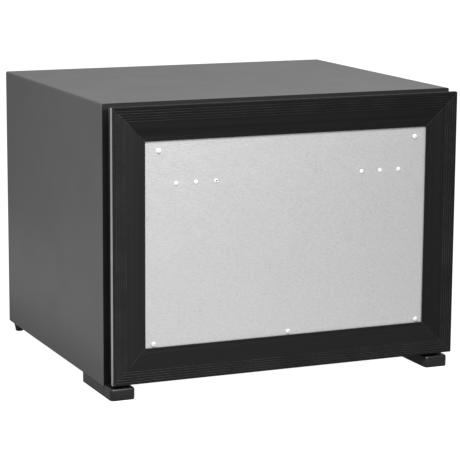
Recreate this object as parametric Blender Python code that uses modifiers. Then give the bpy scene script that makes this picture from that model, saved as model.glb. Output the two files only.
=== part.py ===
"""Drawer minibar: an insulated steel cabinet on four feet, with one full-height cooled drawer that pulls
out on telescopic runners, a panel-ready drawer front, and an absorption cooling unit behind the cold space.

Metres, +Z up, front towards -Y, origin on the floor below the middle of the whole object.
"""

import math

import bmesh
import bpy
from mathutils import Matrix, Vector

# Cabinet and drawer front, as measured over their outer faces
CASE_WIDTH = 0.580
CASE_DEPTH = 0.472
CASE_HEIGHT = 0.427
FRONT_SIDE_GAP = 0.0033
FRONT_TOP_GAP = 0.0026
FRONT_LIFT = 0.0074
FRONT_REACH = 0.033
FOOT_HEIGHT = 0.0155

# Clearances
FIT = 0.0003
HOLE_PLAY = 0.0004

# Steel case and base plate
CASE_SHEET = 0.001
CASE_BEND = 0.0024
FRONT_FLANGE = 0.024
REAR_FLANGE = 0.015
BOTTOM_FLANGE = 0.028
VENT_COUNT = 11
VENT_PITCH = 0.040
VENT_WIDTH = 0.012
VENT_LENGTH = 0.070
VENT_INSET = 0.055

# Cold space: wall thicknesses from the case's outer faces to the liner's inner faces
SIDE_WALL = 0.036
TOP_WALL = 0.033
FLOOR_WALL = 0.033
REAR_WALL = 0.045
CAVITY_DEPTH = 0.300
LINER_SHEET = 0.0015
LINER_RADIUS = 0.012
LINER_FLANGE = 0.024

# Feet
FRONT_FOOT_WIDTH = 0.039
FRONT_FOOT_LENGTH = 0.1306
FRONT_FOOT_REACH = 0.032
FRONT_FOOT_RADIUS = 0.006
TOE_RISE = 0.0025
RIGHT_FOOT_INSET = 0.009
REAR_FOOT_RADIUS = 0.0065
REAR_FOOT_TOP_RADIUS = 0.0095
REAR_FOOT_INSET_X = 0.0125
REAR_FOOT_INSET_Y = 0.0165

# Frame profile of the drawer front: breadth across the face, depth behind it
BORDER = 0.0526
FRAME_DEPTH = 0.024
FRAME_WALL = 0.002
FACE_WALL = 0.0024
EDGE_CHAMFER = 0.0006
RIB_COUNT = 5
RIB_START = 0.0045
RIB_PITCH = 0.0038
RIB_GROOVE = 0.0016
RIB_DEPTH = 0.0007
SLOPE_START = 0.0245
SLOPE_END = 0.0450
SLOPE_DROP = 0.0028
LIP_RIB_COUNT = 2
LIP_RIB_PITCH = 0.0024
LIP_WALL = 0.0016
EDGE_DEPTH = 0.009
SIDE_SETBACK = 0.005
REAR_LEDGE = 0.017
SCREW_LEDGE = 0.018
SHEET_TUCK = 0.008
MITRE_GAP = 0.0003

# Bare sheet panel, its screws and its rivets
SHEET_THICKNESS = 0.0007
SCREW_HEAD_RADIUS = 0.0038
SCREW_HEAD_HEIGHT = 0.0020
SCREW_SHANK_RADIUS = 0.0019
SCREW_LENGTH = 0.007
PATTERN_SHIFT = 0.0018
TOP_SCREW_INSET = 0.0727
TOP_SCREW_DROP = 0.0149
LOW_SCREW_INSET = 0.0645
LOW_SCREW_RISE = 0.0050
RIVET_PITCH = 0.032
RIVET_INSET = 0.1647
RIVET_DROP = 0.1173
RIVET_HEAD_RADIUS = 0.0032
RIVET_HEAD_HEIGHT = 0.0012
RIVET_SHANK_RADIUS = 0.0017
RIVET_BORE_RADIUS = 0.0011
PLATE_HEIGHT = 0.026
PLATE_MARGIN = 0.014
PLATE_THICKNESS = 0.002

# Insulation and inner panel of the drawer front, and its gasket
PANEL_SHEET = 0.002
PANEL_STEP = 0.0087
PANEL_SIDE_GAP = 0.004
GASKET_WIDTH = 0.011
GASKET_INSET = 0.0053
GASKET_FOLD = 0.003

# Telescopic runners, one pair, each outer - middle - inner with two ball cages
RUNNER_END_GAP = 0.020
RUNNER_START = 0.004
RUNNER_HEIGHT = 0.045
RUNNER_THICKNESS = 0.0127
RUNNER_RISE = 0.060
RUNNER_SHEET = 0.0012
RUNNER_STEP = 0.0033
OUTER_MOUTH = 0.0098
MIDDLE_WEB = 0.0034
MIDDLE_MOUTH = 0.0106
INNER_MOUTH = 0.0066
CAGE_MOUTH = 0.0090
CAGE_SHEET = 0.0008
CAGE_LENGTH = 0.134
CAGE_START = 0.076
BALL_RADIUS = 0.00135
BALL_COUNT = 4
TAB_REACH = 0.026
TAB_SHEET = 0.0015

# Drawer bin, its dividers and its wire rail
BIN_WALL = 0.0025
BIN_RADIUS = 0.014
BIN_LIFT = 0.0055
BIN_HEADROOM = 0.050
BIN_START = 0.0104
BIN_END_GAP = 0.032
BIN_LIP = 0.0080
DIVIDER_X = 0.080
DIVIDER_THICKNESS = 0.002
DIVIDER_DROP = 0.026
RAIL_RADIUS = 0.0025
RAIL_RISE = 0.037
RAIL_BEND = 0.018

# Evaporator with its plug, drip tray and drain
PLUG_WIDTH = 0.300
PLUG_HEIGHT = 0.100
PLUG_TOP_GAP = 0.0095
PLUG_FLANGE = 0.010
PLUG_COVER = 0.002
EVAPORATOR_MARGIN = 0.012
EVAPORATOR_HEIGHT = 0.094
EVAPORATOR_BASE = 0.006
FIN_COUNT = 24
FIN_DEPTH = 0.028
FIN_THICKNESS = 0.0016
TRAY_MARGIN = 0.004
TRAY_DEPTH = 0.042
TRAY_HEIGHT = 0.016
TRAY_WALL = 0.0015
TRAY_GAP = 0.009
DRAIN_RADIUS = 0.0042
DRAIN_BORE = 0.0030
DRAIN_WALL_GAP = 0.024
DISH_LENGTH = 0.150
DISH_DEPTH = 0.070
DISH_HEIGHT = 0.015

# Absorption unit in the bay behind the cold space
UNIT_Y = 0.061
VESSEL_RADIUS = 0.032
VESSEL_INSET = 0.080
VESSEL_TO_BOILER = 0.088
VESSEL_FLOOR_GAP = 0.0145
COIL_RADIUS = 0.010
COIL_Y = 0.102
COIL_PASSES = 5
COIL_HEADROOM = 0.0197
COIL_SLOPE = 0.006
COIL_INSET = 0.040
COIL_OVERHANG = 0.020
COIL_RISE = 0.034
COIL_BEND = 0.017
GAS_RADIUS = 0.0125
GAS_INSET = 0.040
GAS_BEND = 0.030
LIQUID_RADIUS = 0.007
LIQUID_DROP = 0.027
BOILER_INSET = 0.072
BOILER_RADIUS = 0.042
BOILER_BOTTOM = 0.078
BOILER_DROP = 0.1275
BOILER_SHEET = 0.0008
BOILER_TUBE_RADIUS = 0.012
BOILER_TUBE_BOTTOM = 0.056
BOILER_TUBE_RISE = 0.017
RECTIFIER_RADIUS = 0.015
HEATER_RADIUS = 0.0065
HEATER_MARGIN = 0.012
CONDENSER_RADIUS = 0.009
CONDENSER_DROP = 0.038
CONDENSER_SLOPE = 0.010
CONDENSER_INSET = 0.075
CONDENSER_BEND = 0.022
COOLING_FIN_COUNT = 26
COOLING_FIN_TO_BOILER = 0.073
COOLING_FIN_WIDTH = 0.056
COOLING_FIN_HEIGHT = 0.058
COOLING_FIN_SHEET = 0.0008
COOLING_FIN_INSET = 0.060
BRACKET_SHEET = 0.0015
BRACKET_WIDTH = 0.030
BRACKET_X = -0.045
LOW_BRACKET_LENGTH = 0.140
LOW_BRACKET_HEIGHT = 0.034
LOW_BRACKET_X = -0.050

# Electrics
BOX_WIDTH = 0.062
BOX_DEPTH = 0.104
BOX_HEIGHT = 0.150
BOX_BOTTOM = 0.105
BOX_WALL = 0.002
LID_THICKNESS = 0.002
INLET_WIDTH = 0.028
INLET_HEIGHT = 0.020
INLET_DEPTH = 0.024
INLET_RIM = 0.004
INLET_RISE = 0.034
INLET_WALL = 0.0018
POD_WIDTH = 0.110
POD_DEPTH = 0.050
POD_HEIGHT = 0.032
POD_INSET = 0.076
POD_SETBACK = 0.022
POD_WALL = 0.002
KNOB_RADIUS = 0.0135
KNOB_DEPTH = 0.012
KNOB_STEM_RADIUS = 0.003
KNOB_INSET = 0.052
LENS_WIDTH = 0.044
LENS_DEPTH = 0.030
LENS_THICKNESS = 0.003
LENS_INSET = 0.100

# Planes worked out from the sizes above
FACE_Y = -(CASE_DEPTH + FRONT_REACH) / 2
CASE_FRONT = FACE_Y + FRONT_REACH
CASE_BACK = CASE_FRONT + CASE_DEPTH
CASE_BOTTOM = FOOT_HEIGHT
CASE_TOP = CASE_BOTTOM + CASE_HEIGHT
CASE_HALF = CASE_WIDTH / 2
INSIDE_HALF = CASE_HALF - CASE_SHEET - FIT
PLATE_LOW = CASE_BOTTOM + CASE_SHEET + FIT
PLATE_TOP = PLATE_LOW + CASE_SHEET
CAVITY_HALF = CASE_HALF - SIDE_WALL
CAVITY_FLOOR = CASE_BOTTOM + FLOOR_WALL
CAVITY_TOP = CASE_TOP - TOP_WALL
CAVITY_BACK = CASE_FRONT + CAVITY_DEPTH
BAY_PLATE = CAVITY_BACK + REAR_WALL
BAY_FRONT = BAY_PLATE + CASE_SHEET
FRONT_WIDTH = CASE_WIDTH - 2 * FRONT_SIDE_GAP
FRONT_HEIGHT = CASE_HEIGHT - FRONT_LIFT - FRONT_TOP_GAP
FRONT_HALF = FRONT_WIDTH / 2
FRONT_LOW = CASE_BOTTOM + FRONT_LIFT
FRONT_HIGH = FRONT_LOW + FRONT_HEIGHT
FRONT_MIDDLE = (FRONT_LOW + FRONT_HIGH) / 2
LIP_FACE = SLOPE_DROP
SHEET_FACE = LIP_FACE + LIP_WALL + FIT + 0.0002
SHEET_BACK = SHEET_FACE + SHEET_THICKNESS
LEDGE_FACE = SHEET_BACK + FIT
LEDGE_BACK = LEDGE_FACE + FRAME_WALL
SHEET_EDGE = BORDER - SHEET_TUCK
TOP_SCREW_X = FRONT_HALF - TOP_SCREW_INSET
LOW_SCREW_X = FRONT_HALF - LOW_SCREW_INSET
RIVET_FIRST_X = FRONT_HALF - RIVET_INSET
TOP_SCREW_Z = FRONT_HIGH - BORDER - TOP_SCREW_DROP
LOW_SCREW_Z = FRONT_LOW + BORDER + LOW_SCREW_RISE
RIVET_Z = FRONT_HIGH - RIVET_DROP
RUNNER_Z = CAVITY_FLOOR + RUNNER_RISE
RUNNER_LENGTH = CAVITY_DEPTH - RUNNER_END_GAP
RUNNER_FACE = CAVITY_HALF - FIT
BIN_HALF = RUNNER_FACE - RUNNER_THICKNESS - FIT
BIN_FLOOR = CAVITY_FLOOR + BIN_LIFT
BIN_DEPTH = CAVITY_DEPTH - BIN_START - BIN_END_GAP
PLUG_TOP = CAVITY_TOP - PLUG_TOP_GAP
PLUG_LOW = PLUG_TOP - PLUG_HEIGHT
EVAPORATOR_Z = (PLUG_TOP + PLUG_LOW) / 2
TRAY_TOP = PLUG_LOW - TRAY_GAP
TRAY_LOW = TRAY_TOP - TRAY_HEIGHT
TRAY_WIDTH = PLUG_WIDTH - 2 * TRAY_MARGIN
EVAPORATOR_WIDTH = PLUG_WIDTH - 2 * EVAPORATOR_MARGIN
BIN_TOP = TRAY_LOW - BIN_HEADROOM
BIN_HEIGHT = BIN_TOP - BIN_FLOOR
DIVIDER_HEIGHT = BIN_HEIGHT - DIVIDER_DROP
DRAIN_Z = (TRAY_TOP + TRAY_LOW) / 2
UNIT_BACK = BAY_FRONT + UNIT_Y
COIL_BACK = BAY_FRONT + COIL_Y
VESSEL_Z = CASE_BOTTOM + VESSEL_FLOOR_GAP + VESSEL_RADIUS
VESSEL_TOP = VESSEL_Z + VESSEL_RADIUS
BOILER_X = CASE_HALF - BOILER_INSET
BOILER_TOP = CASE_TOP - BOILER_DROP
BOILER_TUBE_TOP = BOILER_TOP + BOILER_TUBE_RISE
HEATER_LENGTH = BOILER_TOP - BOILER_BOTTOM - HEATER_MARGIN
VESSEL_START_X = VESSEL_INSET - CASE_HALF
VESSEL_END_X = BOILER_X - VESSEL_TO_BOILER
PIPE_FOOT = VESSEL_TOP + FIT
COIL_LOW = PIPE_FOOT + COIL_RISE
COIL_PITCH = (PLUG_LOW - COIL_HEADROOM - COIL_LOW) / (COIL_PASSES - 1)
COIL_LEFT_X = VESSEL_START_X + COIL_INSET
COIL_RIGHT_X = VESSEL_END_X + COIL_OVERHANG
GAS_X = PLUG_WIDTH / 2 - GAS_INSET
LIQUID_INLET_X = -GAS_X
CONDENSER_Z = CASE_TOP - CONDENSER_DROP
CONDENSER_LEFT_X = CONDENSER_INSET - CASE_HALF
COOLING_FIN_FIRST_X = CONDENSER_LEFT_X + COOLING_FIN_INSET
COOLING_FIN_LAST_X = BOILER_X - COOLING_FIN_TO_BOILER
COOLING_FIN_PITCH = (COOLING_FIN_LAST_X - COOLING_FIN_FIRST_X) / (COOLING_FIN_COUNT - 1)
POD_X = CAVITY_HALF - POD_INSET
KNOB_X = CAVITY_HALF - KNOB_INSET
LENS_X = CAVITY_HALF - LENS_INSET

# Colour, roughness and metallic value of each finish
FINISHES = {
    "black_paint": ((0.020, 0.020, 0.021), 0.38, 0.0),
    "black_profile": ((0.016, 0.016, 0.017), 0.42, 0.0),
    "black_plastic": ((0.022, 0.022, 0.023), 0.50, 0.0),
    "gasket_grey": ((0.035, 0.035, 0.037), 0.65, 0.0),
    "bare_sheet": ((0.62, 0.62, 0.63), 0.38, 0.9),
    "zinc": ((0.66, 0.66, 0.68), 0.32, 1.0),
    "bright_zinc": ((0.80, 0.80, 0.80), 0.22, 1.0),
    "chrome": ((0.85, 0.85, 0.86), 0.08, 1.0),
    "foam": ((0.80, 0.70, 0.42), 0.90, 0.0),
    "white_plastic": ((0.82, 0.83, 0.83), 0.40, 0.0),
    "grey_plastic": ((0.52, 0.54, 0.56), 0.45, 0.0),
    "clear_plastic": ((0.86, 0.89, 0.90), 0.15, 0.0),
    "aluminium": ((0.76, 0.77, 0.78), 0.34, 1.0),
    "unit_paint": ((0.030, 0.030, 0.031), 0.55, 0.0),
    "mineral_wool": ((0.62, 0.58, 0.46), 0.95, 0.0),
}


def material(name, finish):
    colour, roughness, metallic = FINISHES[finish]
    made = bpy.data.materials.new(name + "_material")
    made.use_nodes = True
    shader = made.node_tree.nodes["Principled BSDF"]
    shader.inputs["Base Color"].default_value = (*colour, 1.0)
    shader.inputs["Roughness"].default_value = roughness
    shader.inputs["Metallic"].default_value = metallic
    return made


def add_object(name, data, finish=None):
    """Links a new object to the parts, or to the cutters where it has no finish."""
    made = bpy.data.objects.new(name, data)
    if finish is None:
        cutters.objects.link(made)
        made.hide_render = True
        made.display_type = "WIRE"
    else:
        parts.objects.link(made)
        data.materials.append(material(name, finish))
    return made


def turn_outwards(bm):
    """Makes all faces of a closed mesh point outwards."""
    bmesh.ops.recalc_face_normals(bm, faces=bm.faces)
    if bm.calc_volume(signed=True) < 0.0:
        bmesh.ops.reverse_faces(bm, faces=bm.faces)


def mesh_of(name, bm):
    turn_outwards(bm)
    data = bpy.data.meshes.new(name)
    bm.to_mesh(data)
    bm.free()
    return data


def round_edges(bm, along, radius, segments):
    """Rounds the straight edges that run along one axis: 0 is X, 1 is Y and 2 is Z."""
    chosen = []
    for edge in bm.edges:
        run = edge.verts[0].co - edge.verts[1].co
        if abs(run[along]) > 0.999 * run.length:
            chosen.append(edge)
    bmesh.ops.bevel(bm, geom=chosen, offset=radius, segments=segments, profile=0.5, affect="EDGES")


def block(name, low, high, finish=None, along=None, radius=0.0, segments=3):
    """A box between two corners, placed by its location, with the edges along one axis rounded."""
    size = Vector(high) - Vector(low)
    bm = bmesh.new()
    bmesh.ops.create_cube(bm, size=1.0)
    bmesh.ops.scale(bm, vec=size, verts=bm.verts)
    if along is not None:
        round_edges(bm, along, radius, segments)
    made = add_object(name, mesh_of(name, bm), finish)
    made.location = (Vector(low) + Vector(high)) / 2
    return made


def blocks(name, boxes):
    """One cutter made of several boxes that don't meet."""
    bm = bmesh.new()
    for low, high in boxes:
        size = Vector(high) - Vector(low)
        centre = (Vector(high) + Vector(low)) / 2
        place = Matrix.Translation(centre) @ Matrix.Diagonal((*size, 1.0))
        bmesh.ops.create_cube(bm, size=1.0, matrix=place)
    return add_object(name, mesh_of(name, bm))


def turned_to(axis):
    """The rotation that turns +Z to the given direction."""
    return Vector((0, 0, 1)).rotation_difference(Vector(axis)).to_matrix().to_4x4()


def rods(name, ends, radius, finish=None, sides=12):
    """One or more round bars between pairs of points, which don't meet."""
    bm = bmesh.new()
    for start, end in ends:
        run = Vector(end) - Vector(start)
        place = Matrix.Translation((Vector(start) + Vector(end)) / 2) @ turned_to(run.normalized())
        bmesh.ops.create_cone(
            bm,
            cap_ends=True,
            segments=sides,
            radius1=radius,
            radius2=radius,
            depth=run.length,
            matrix=place,
        )
    return add_object(name, mesh_of(name, bm), finish)


def turned(name, profile, steps, finish=None):
    """A shape turned round its own Z axis from (radius, height) points, top to bottom on the outside."""
    data = bpy.data.meshes.new(name)
    points = [(radius, 0.0, height) for radius, height in profile]
    edges = [(i, i + 1) for i in range(len(points) - 1)]
    data.from_pydata(points, edges, [])
    made = add_object(name, data, finish)
    screw = made.modifiers.new("turn", "SCREW")
    screw.steps = steps
    screw.render_steps = steps
    screw.use_merge_vertices = True
    screw.merge_threshold = 0.00005
    screw.use_smooth_shade = True
    return made


def rounded_route(corners, radius, steps=4):
    """Points along straight runs between corners, each corner rounded by an arc of the given radius."""
    corners = [Vector(corner) for corner in corners]
    points = [corners[0]]
    for before, corner, after in zip(corners, corners[1:], corners[2:]):
        back = (before - corner).normalized()
        on = (after - corner).normalized()
        half = back.angle(on) / 2
        reach = radius / math.tan(half)
        middle = corner + (back + on).normalized() * (radius / math.sin(half))
        first = corner + back * reach - middle
        last = corner + on * reach - middle
        for i in range(steps + 1):
            points.append(middle + first.slerp(last, i / steps).normalized() * radius)
    points.append(corners[-1])
    return points


def tube(name, points, radius, finish, resolution=2):
    """A round tube or wire along points, as a mesh, so that it can be cut and joined."""
    curve = bpy.data.curves.new(name, "CURVE")
    curve.dimensions = "3D"
    curve.bevel_depth = radius
    curve.bevel_resolution = resolution
    curve.use_fill_caps = True
    spline = curve.splines.new("POLY")
    spline.points.add(len(points) - 1)
    for point, place in zip(spline.points, points):
        point.co = (*place, 1.0)
    return as_mesh(name, curve, finish)


def as_mesh(name, curve, finish):
    """Turns a curve into a mesh object with its caps welded on."""
    guide = bpy.data.objects.new(name + "_guide", curve)
    cutters.objects.link(guide)
    bpy.context.view_layer.update()
    data = bpy.data.meshes.new_from_object(guide.evaluated_get(bpy.context.evaluated_depsgraph_get()))
    data.name = name
    bm = bmesh.new()
    bm.from_mesh(data)
    bmesh.ops.remove_doubles(bm, verts=bm.verts, dist=0.00001)
    turn_outwards(bm)
    bm.to_mesh(data)
    bm.free()
    data.materials.clear()
    made = add_object(name, data, finish)
    made.matrix_world = guide.matrix_world
    bpy.data.objects.remove(guide, do_unlink=True)
    return made


def outline(name, points, half_length, finish):
    """A flat outline in local X and Y, drawn out along local Z by half its length each way."""
    bm = bmesh.new()
    ring = [bm.verts.new((x, y, -half_length)) for x, y in points]
    face = bm.faces.new(ring)
    drawn = bmesh.ops.extrude_face_region(bm, geom=[face])["geom"]
    far = [v for v in drawn if isinstance(v, bmesh.types.BMVert)]
    bmesh.ops.translate(bm, vec=(0.0, 0.0, 2 * half_length), verts=far)
    if face.is_valid and len(face.edges[0].link_faces) > 2:
        bm.faces.remove(face)
    return add_object(name, mesh_of(name, bm), finish)


def reshape(made, rule):
    """Moves every vertex of a mesh by a rule, then turns its faces outwards again."""
    bm = bmesh.new()
    bm.from_mesh(made.data)
    for vertex in bm.verts:
        vertex.co = Vector(rule(vertex.co))
    turn_outwards(bm)
    bm.to_mesh(made.data)
    bm.free()


def mirrored(made, name, finish):
    """A copy on the other side of the cabinet's middle plane."""
    copy = add_object(name, made.data.copy(), finish)
    copy.data.materials.clear()
    copy.data.materials.append(material(name, finish))
    centre = made.location.x

    def across(co):
        return (-(co.x + centre), co.y, co.z)

    reshape(copy, across)
    copy.location = (0.0, made.location.y, made.location.z)
    return copy


def cut(made, cutter, operation="DIFFERENCE"):
    boolean = made.modifiers.new(cutter.name, "BOOLEAN")
    boolean.object = cutter
    boolean.operation = operation
    boolean.solver = "EXACT"


def join(made, *others):
    """Boolean unions with pieces that stay behind as guides."""
    for other in others:
        cut(made, other, "UNION")


def soften(made, width, segments=2, angle=35.0):
    bevel = made.modifiers.new("soft_edges", "BEVEL")
    bevel.width = width
    bevel.segments = segments
    bevel.limit_method = "ANGLE"
    bevel.angle_limit = math.radians(angle)


def smooth(*made):
    for piece in made:
        piece.data.shade_smooth()
        piece.data.set_sharp_from_angle(angle=math.radians(35.0))


def tub(name, low, high, open_side, radius, segments, wall, lip, finish):
    """A thermoformed tub from its inside faces: open on one side, walls grown outwards, with a lip."""
    size = Vector(high) - Vector(low)
    centre = (Vector(high) + Vector(low)) / 2
    axis, sign = open_side
    bm = bmesh.new()
    bmesh.ops.create_cube(bm, size=1.0)
    bmesh.ops.scale(bm, vec=size, verts=bm.verts)
    mouth = sign * size[axis] / 2
    open_face = [f for f in bm.faces if abs(f.calc_center_median()[axis] - mouth) < 0.0001]
    bmesh.ops.delete(bm, geom=open_face, context="FACES_ONLY")
    inner = [e for e in bm.edges if not e.is_boundary]
    bmesh.ops.bevel(bm, geom=inner, offset=radius, segments=segments, profile=0.5, affect="EDGES")
    outer = []
    if lip > 0.0:
        rim = [e for e in bm.edges if e.is_boundary]
        grown = bmesh.ops.extrude_edge_only(bm, edges=rim)["geom"]
        outer = [v for v in grown if isinstance(v, bmesh.types.BMVert)]
    half = size / 2
    for vertex in outer:
        for side in range(3):
            if side == axis:
                continue
            inset = half[side] - abs(vertex.co[side])
            share = max(0.0, 1.0 - inset / radius) if inset < radius else 0.0
            vertex.co[side] += math.copysign(lip * share, vertex.co[side])
    made = add_object(name, mesh_of(name, bm), finish)
    made.location = centre
    solidify = made.modifiers.new("wall", "SOLIDIFY")
    solidify.thickness = wall
    solidify.offset = 1.0
    solidify.use_even_offset = True
    return made


# Start from an empty scene, with one collection for the object and one for what only cuts or guides
for old in list(bpy.data.objects):
    bpy.data.objects.remove(old, do_unlink=True)
parts = bpy.data.collections.new("drawer_minibar")
cutters = bpy.data.collections.new("cutters")
bpy.context.scene.collection.children.link(parts)
bpy.context.scene.collection.children.link(cutters)


# Outer case: one steel sheet folded over the top and both sides, with flanges at the front, back and bottom
outer_case = block(
    "outer_case",
    (-CASE_HALF, CASE_FRONT, CASE_BOTTOM),
    (CASE_HALF, CASE_BACK, CASE_TOP),
    "black_paint",
)


def round_top_folds(made, radius):
    """Bends the sheet over at the two long top edges."""
    bm = bmesh.new()
    bm.from_mesh(made.data)
    top = max(vertex.co.z for vertex in bm.verts)
    folds = []
    for edge in bm.edges:
        a, b = edge.verts
        if abs(a.co.x - b.co.x) < 0.0001 and min(a.co.z, b.co.z) > top - 0.0001:
            folds.append(edge)
    bmesh.ops.bevel(bm, geom=folds, offset=radius, segments=3, profile=0.5, affect="EDGES")
    bm.to_mesh(made.data)
    bm.free()


round_top_folds(outer_case, CASE_BEND)
case_inside = block(
    "case_inside",
    (-CASE_HALF + CASE_SHEET, CASE_FRONT + CASE_SHEET, CASE_BOTTOM + CASE_SHEET),
    (CASE_HALF - CASE_SHEET, CASE_BACK - CASE_SHEET, CASE_TOP - CASE_SHEET),
)
round_top_folds(case_inside, CASE_BEND - CASE_SHEET)
case_mouth = block(
    "case_mouth",
    (-CASE_HALF + FRONT_FLANGE, CASE_FRONT - CASE_SHEET, CASE_BOTTOM - CASE_SHEET),
    (CASE_HALF - FRONT_FLANGE, CASE_FRONT + 2 * CASE_SHEET, CASE_TOP - FRONT_FLANGE),
)
case_rear = block(
    "case_rear",
    (-CASE_HALF + REAR_FLANGE, CASE_BACK - 2 * CASE_SHEET, CASE_BOTTOM - CASE_SHEET),
    (CASE_HALF - REAR_FLANGE, CASE_BACK + CASE_SHEET, CASE_TOP - REAR_FLANGE),
)
case_underside = block(
    "case_underside",
    (-CASE_HALF + BOTTOM_FLANGE, CASE_FRONT - CASE_SHEET, CASE_BOTTOM - CASE_SHEET),
    (CASE_HALF - BOTTOM_FLANGE, CASE_BACK + CASE_SHEET, CASE_BOTTOM + 2 * CASE_SHEET),
)
cut(outer_case, case_inside)
cut(outer_case, case_mouth)
cut(outer_case, case_rear)
cut(outer_case, case_underside)

# Base plate: a galvanised sheet on the case's bottom flanges, turned up at the front for the gasket
TONGUE_HALF = CASE_HALF - FRONT_FLANGE - FIT
base_plate = block(
    "base_plate",
    (-INSIDE_HALF, CASE_FRONT + CASE_SHEET + FIT, PLATE_LOW),
    (INSIDE_HALF, CASE_BACK - CASE_SHEET - FIT, PLATE_TOP),
    "zinc",
)
base_tongue = block(
    "base_tongue",
    (-TONGUE_HALF, CASE_FRONT, PLATE_LOW),
    (TONGUE_HALF, CASE_FRONT + 4 * CASE_SHEET, PLATE_TOP),
)
base_turn_up = block(
    "base_turn_up",
    (-TONGUE_HALF, CASE_FRONT, PLATE_LOW),
    (TONGUE_HALF, CASE_FRONT + CASE_SHEET, CASE_BOTTOM + FRONT_FLANGE),
)
vent_back = CASE_BACK - VENT_INSET
vents = []
for i in range(VENT_COUNT):
    x = (i - (VENT_COUNT - 1) / 2) * VENT_PITCH
    low = (x - VENT_WIDTH / 2, vent_back - VENT_LENGTH / 2, PLATE_LOW - CASE_SHEET)
    high = (x + VENT_WIDTH / 2, vent_back + VENT_LENGTH / 2, PLATE_TOP + CASE_SHEET)
    vents.append((low, high))
base_vents = blocks("base_vents", vents)
join(base_plate, base_tongue, base_turn_up)
cut(base_plate, base_vents)

# Inner liner: one white thermoformed tub, whose flange tucks behind the case's front flanges
inner_liner = tub(
    "inner_liner",
    (-CAVITY_HALF, CASE_FRONT + CASE_SHEET + FIT, CAVITY_FLOOR),
    (CAVITY_HALF, CAVITY_BACK, CAVITY_TOP),
    (1, -1),
    LINER_RADIUS,
    3,
    LINER_SHEET,
    LINER_FLANGE,
    "white_plastic",
)

# Foamed-in insulation between case and liner, and the plate that closes it at the back
SHELL_GAP = LINER_SHEET + FIT
cabinet_foam = block(
    "cabinet_foam",
    (-INSIDE_HALF, CASE_FRONT + CASE_SHEET + LINER_SHEET + 2 * FIT, PLATE_TOP + FIT),
    (INSIDE_HALF, BAY_PLATE - FIT, CASE_TOP - CASE_SHEET - FIT),
    "foam",
)
round_top_folds(cabinet_foam, CASE_BEND)
foam_cavity = block(
    "foam_cavity",
    (-CAVITY_HALF - SHELL_GAP, CASE_FRONT - LINER_RADIUS * 2, CAVITY_FLOOR - SHELL_GAP),
    (CAVITY_HALF + SHELL_GAP, CAVITY_BACK + SHELL_GAP, CAVITY_TOP + SHELL_GAP),
)
soften(foam_cavity, LINER_RADIUS + LINER_SHEET, 3)
cut(cabinet_foam, foam_cavity)
rear_plate = block(
    "rear_plate",
    (-INSIDE_HALF, BAY_PLATE, PLATE_TOP + FIT),
    (INSIDE_HALF, BAY_FRONT, CASE_TOP - CASE_SHEET - FIT),
    "zinc",
)
round_top_folds(rear_plate, CASE_BEND)

# The aperture for the evaporator's plug and the hole for the drain, through liner, foam and rear plate
plug_aperture = block(
    "plug_aperture",
    (-PLUG_WIDTH / 2 - FIT, CAVITY_BACK - LINER_SHEET, PLUG_LOW - FIT),
    (PLUG_WIDTH / 2 + FIT, BAY_FRONT + CASE_SHEET, PLUG_TOP + FIT),
)
drain_hole = rods(
    "drain_hole",
    [((0, CAVITY_BACK - 2 * TRAY_WALL - FIT, DRAIN_Z), (0, BAY_FRONT + CASE_SHEET, DRAIN_Z))],
    DRAIN_RADIUS + FIT,
)
for layer in (inner_liner, cabinet_foam, rear_plate):
    cut(layer, plug_aperture)
    cut(layer, drain_hole)

# Front feet: one long moulded block, used twice the same way round, so the right one sits further in. Its toe
# stands a little higher, in front of the case
foot_start = CASE_FRONT - FRONT_FOOT_REACH
for side, outer_x in (("left", -CASE_HALF), ("right", CASE_HALF - RIGHT_FOOT_INSET - FRONT_FOOT_WIDTH)):
    front_foot = block(
        "front_foot_" + side,
        (outer_x, foot_start, 0.0),
        (outer_x + FRONT_FOOT_WIDTH, foot_start + FRONT_FOOT_LENGTH, CASE_BOTTOM + TOE_RISE),
        "black_plastic",
        along=2,
        radius=FRONT_FOOT_RADIUS,
        segments=4,
    )
    soften(front_foot, 0.0008, 1, 60.0)
    step = block(
        "toe_step_" + side,
        (outer_x - 0.01, CASE_FRONT - FIT, CASE_BOTTOM - FIT),
        (outer_x + FRONT_FOOT_WIDTH + 0.01, CASE_BACK, CASE_TOP),
    )
    cut(front_foot, step)

# Rear feet: short tapered pads below the case's bottom flanges
pad_top = CASE_BOTTOM - FIT
for side, sign in (("left", -1), ("right", 1)):
    rear_foot = turned(
        "rear_foot_" + side,
        [
            (0.0, pad_top),
            (REAR_FOOT_TOP_RADIUS, pad_top),
            (REAR_FOOT_RADIUS, 0.001),
            (REAR_FOOT_RADIUS - 0.001, 0.0),
            (0.0, 0.0),
        ],
        20,
        "black_plastic",
    )
    rear_foot.location = (sign * (CASE_HALF - REAR_FOOT_INSET_X), CASE_BACK - REAR_FOOT_INSET_Y, 0.0)


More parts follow.
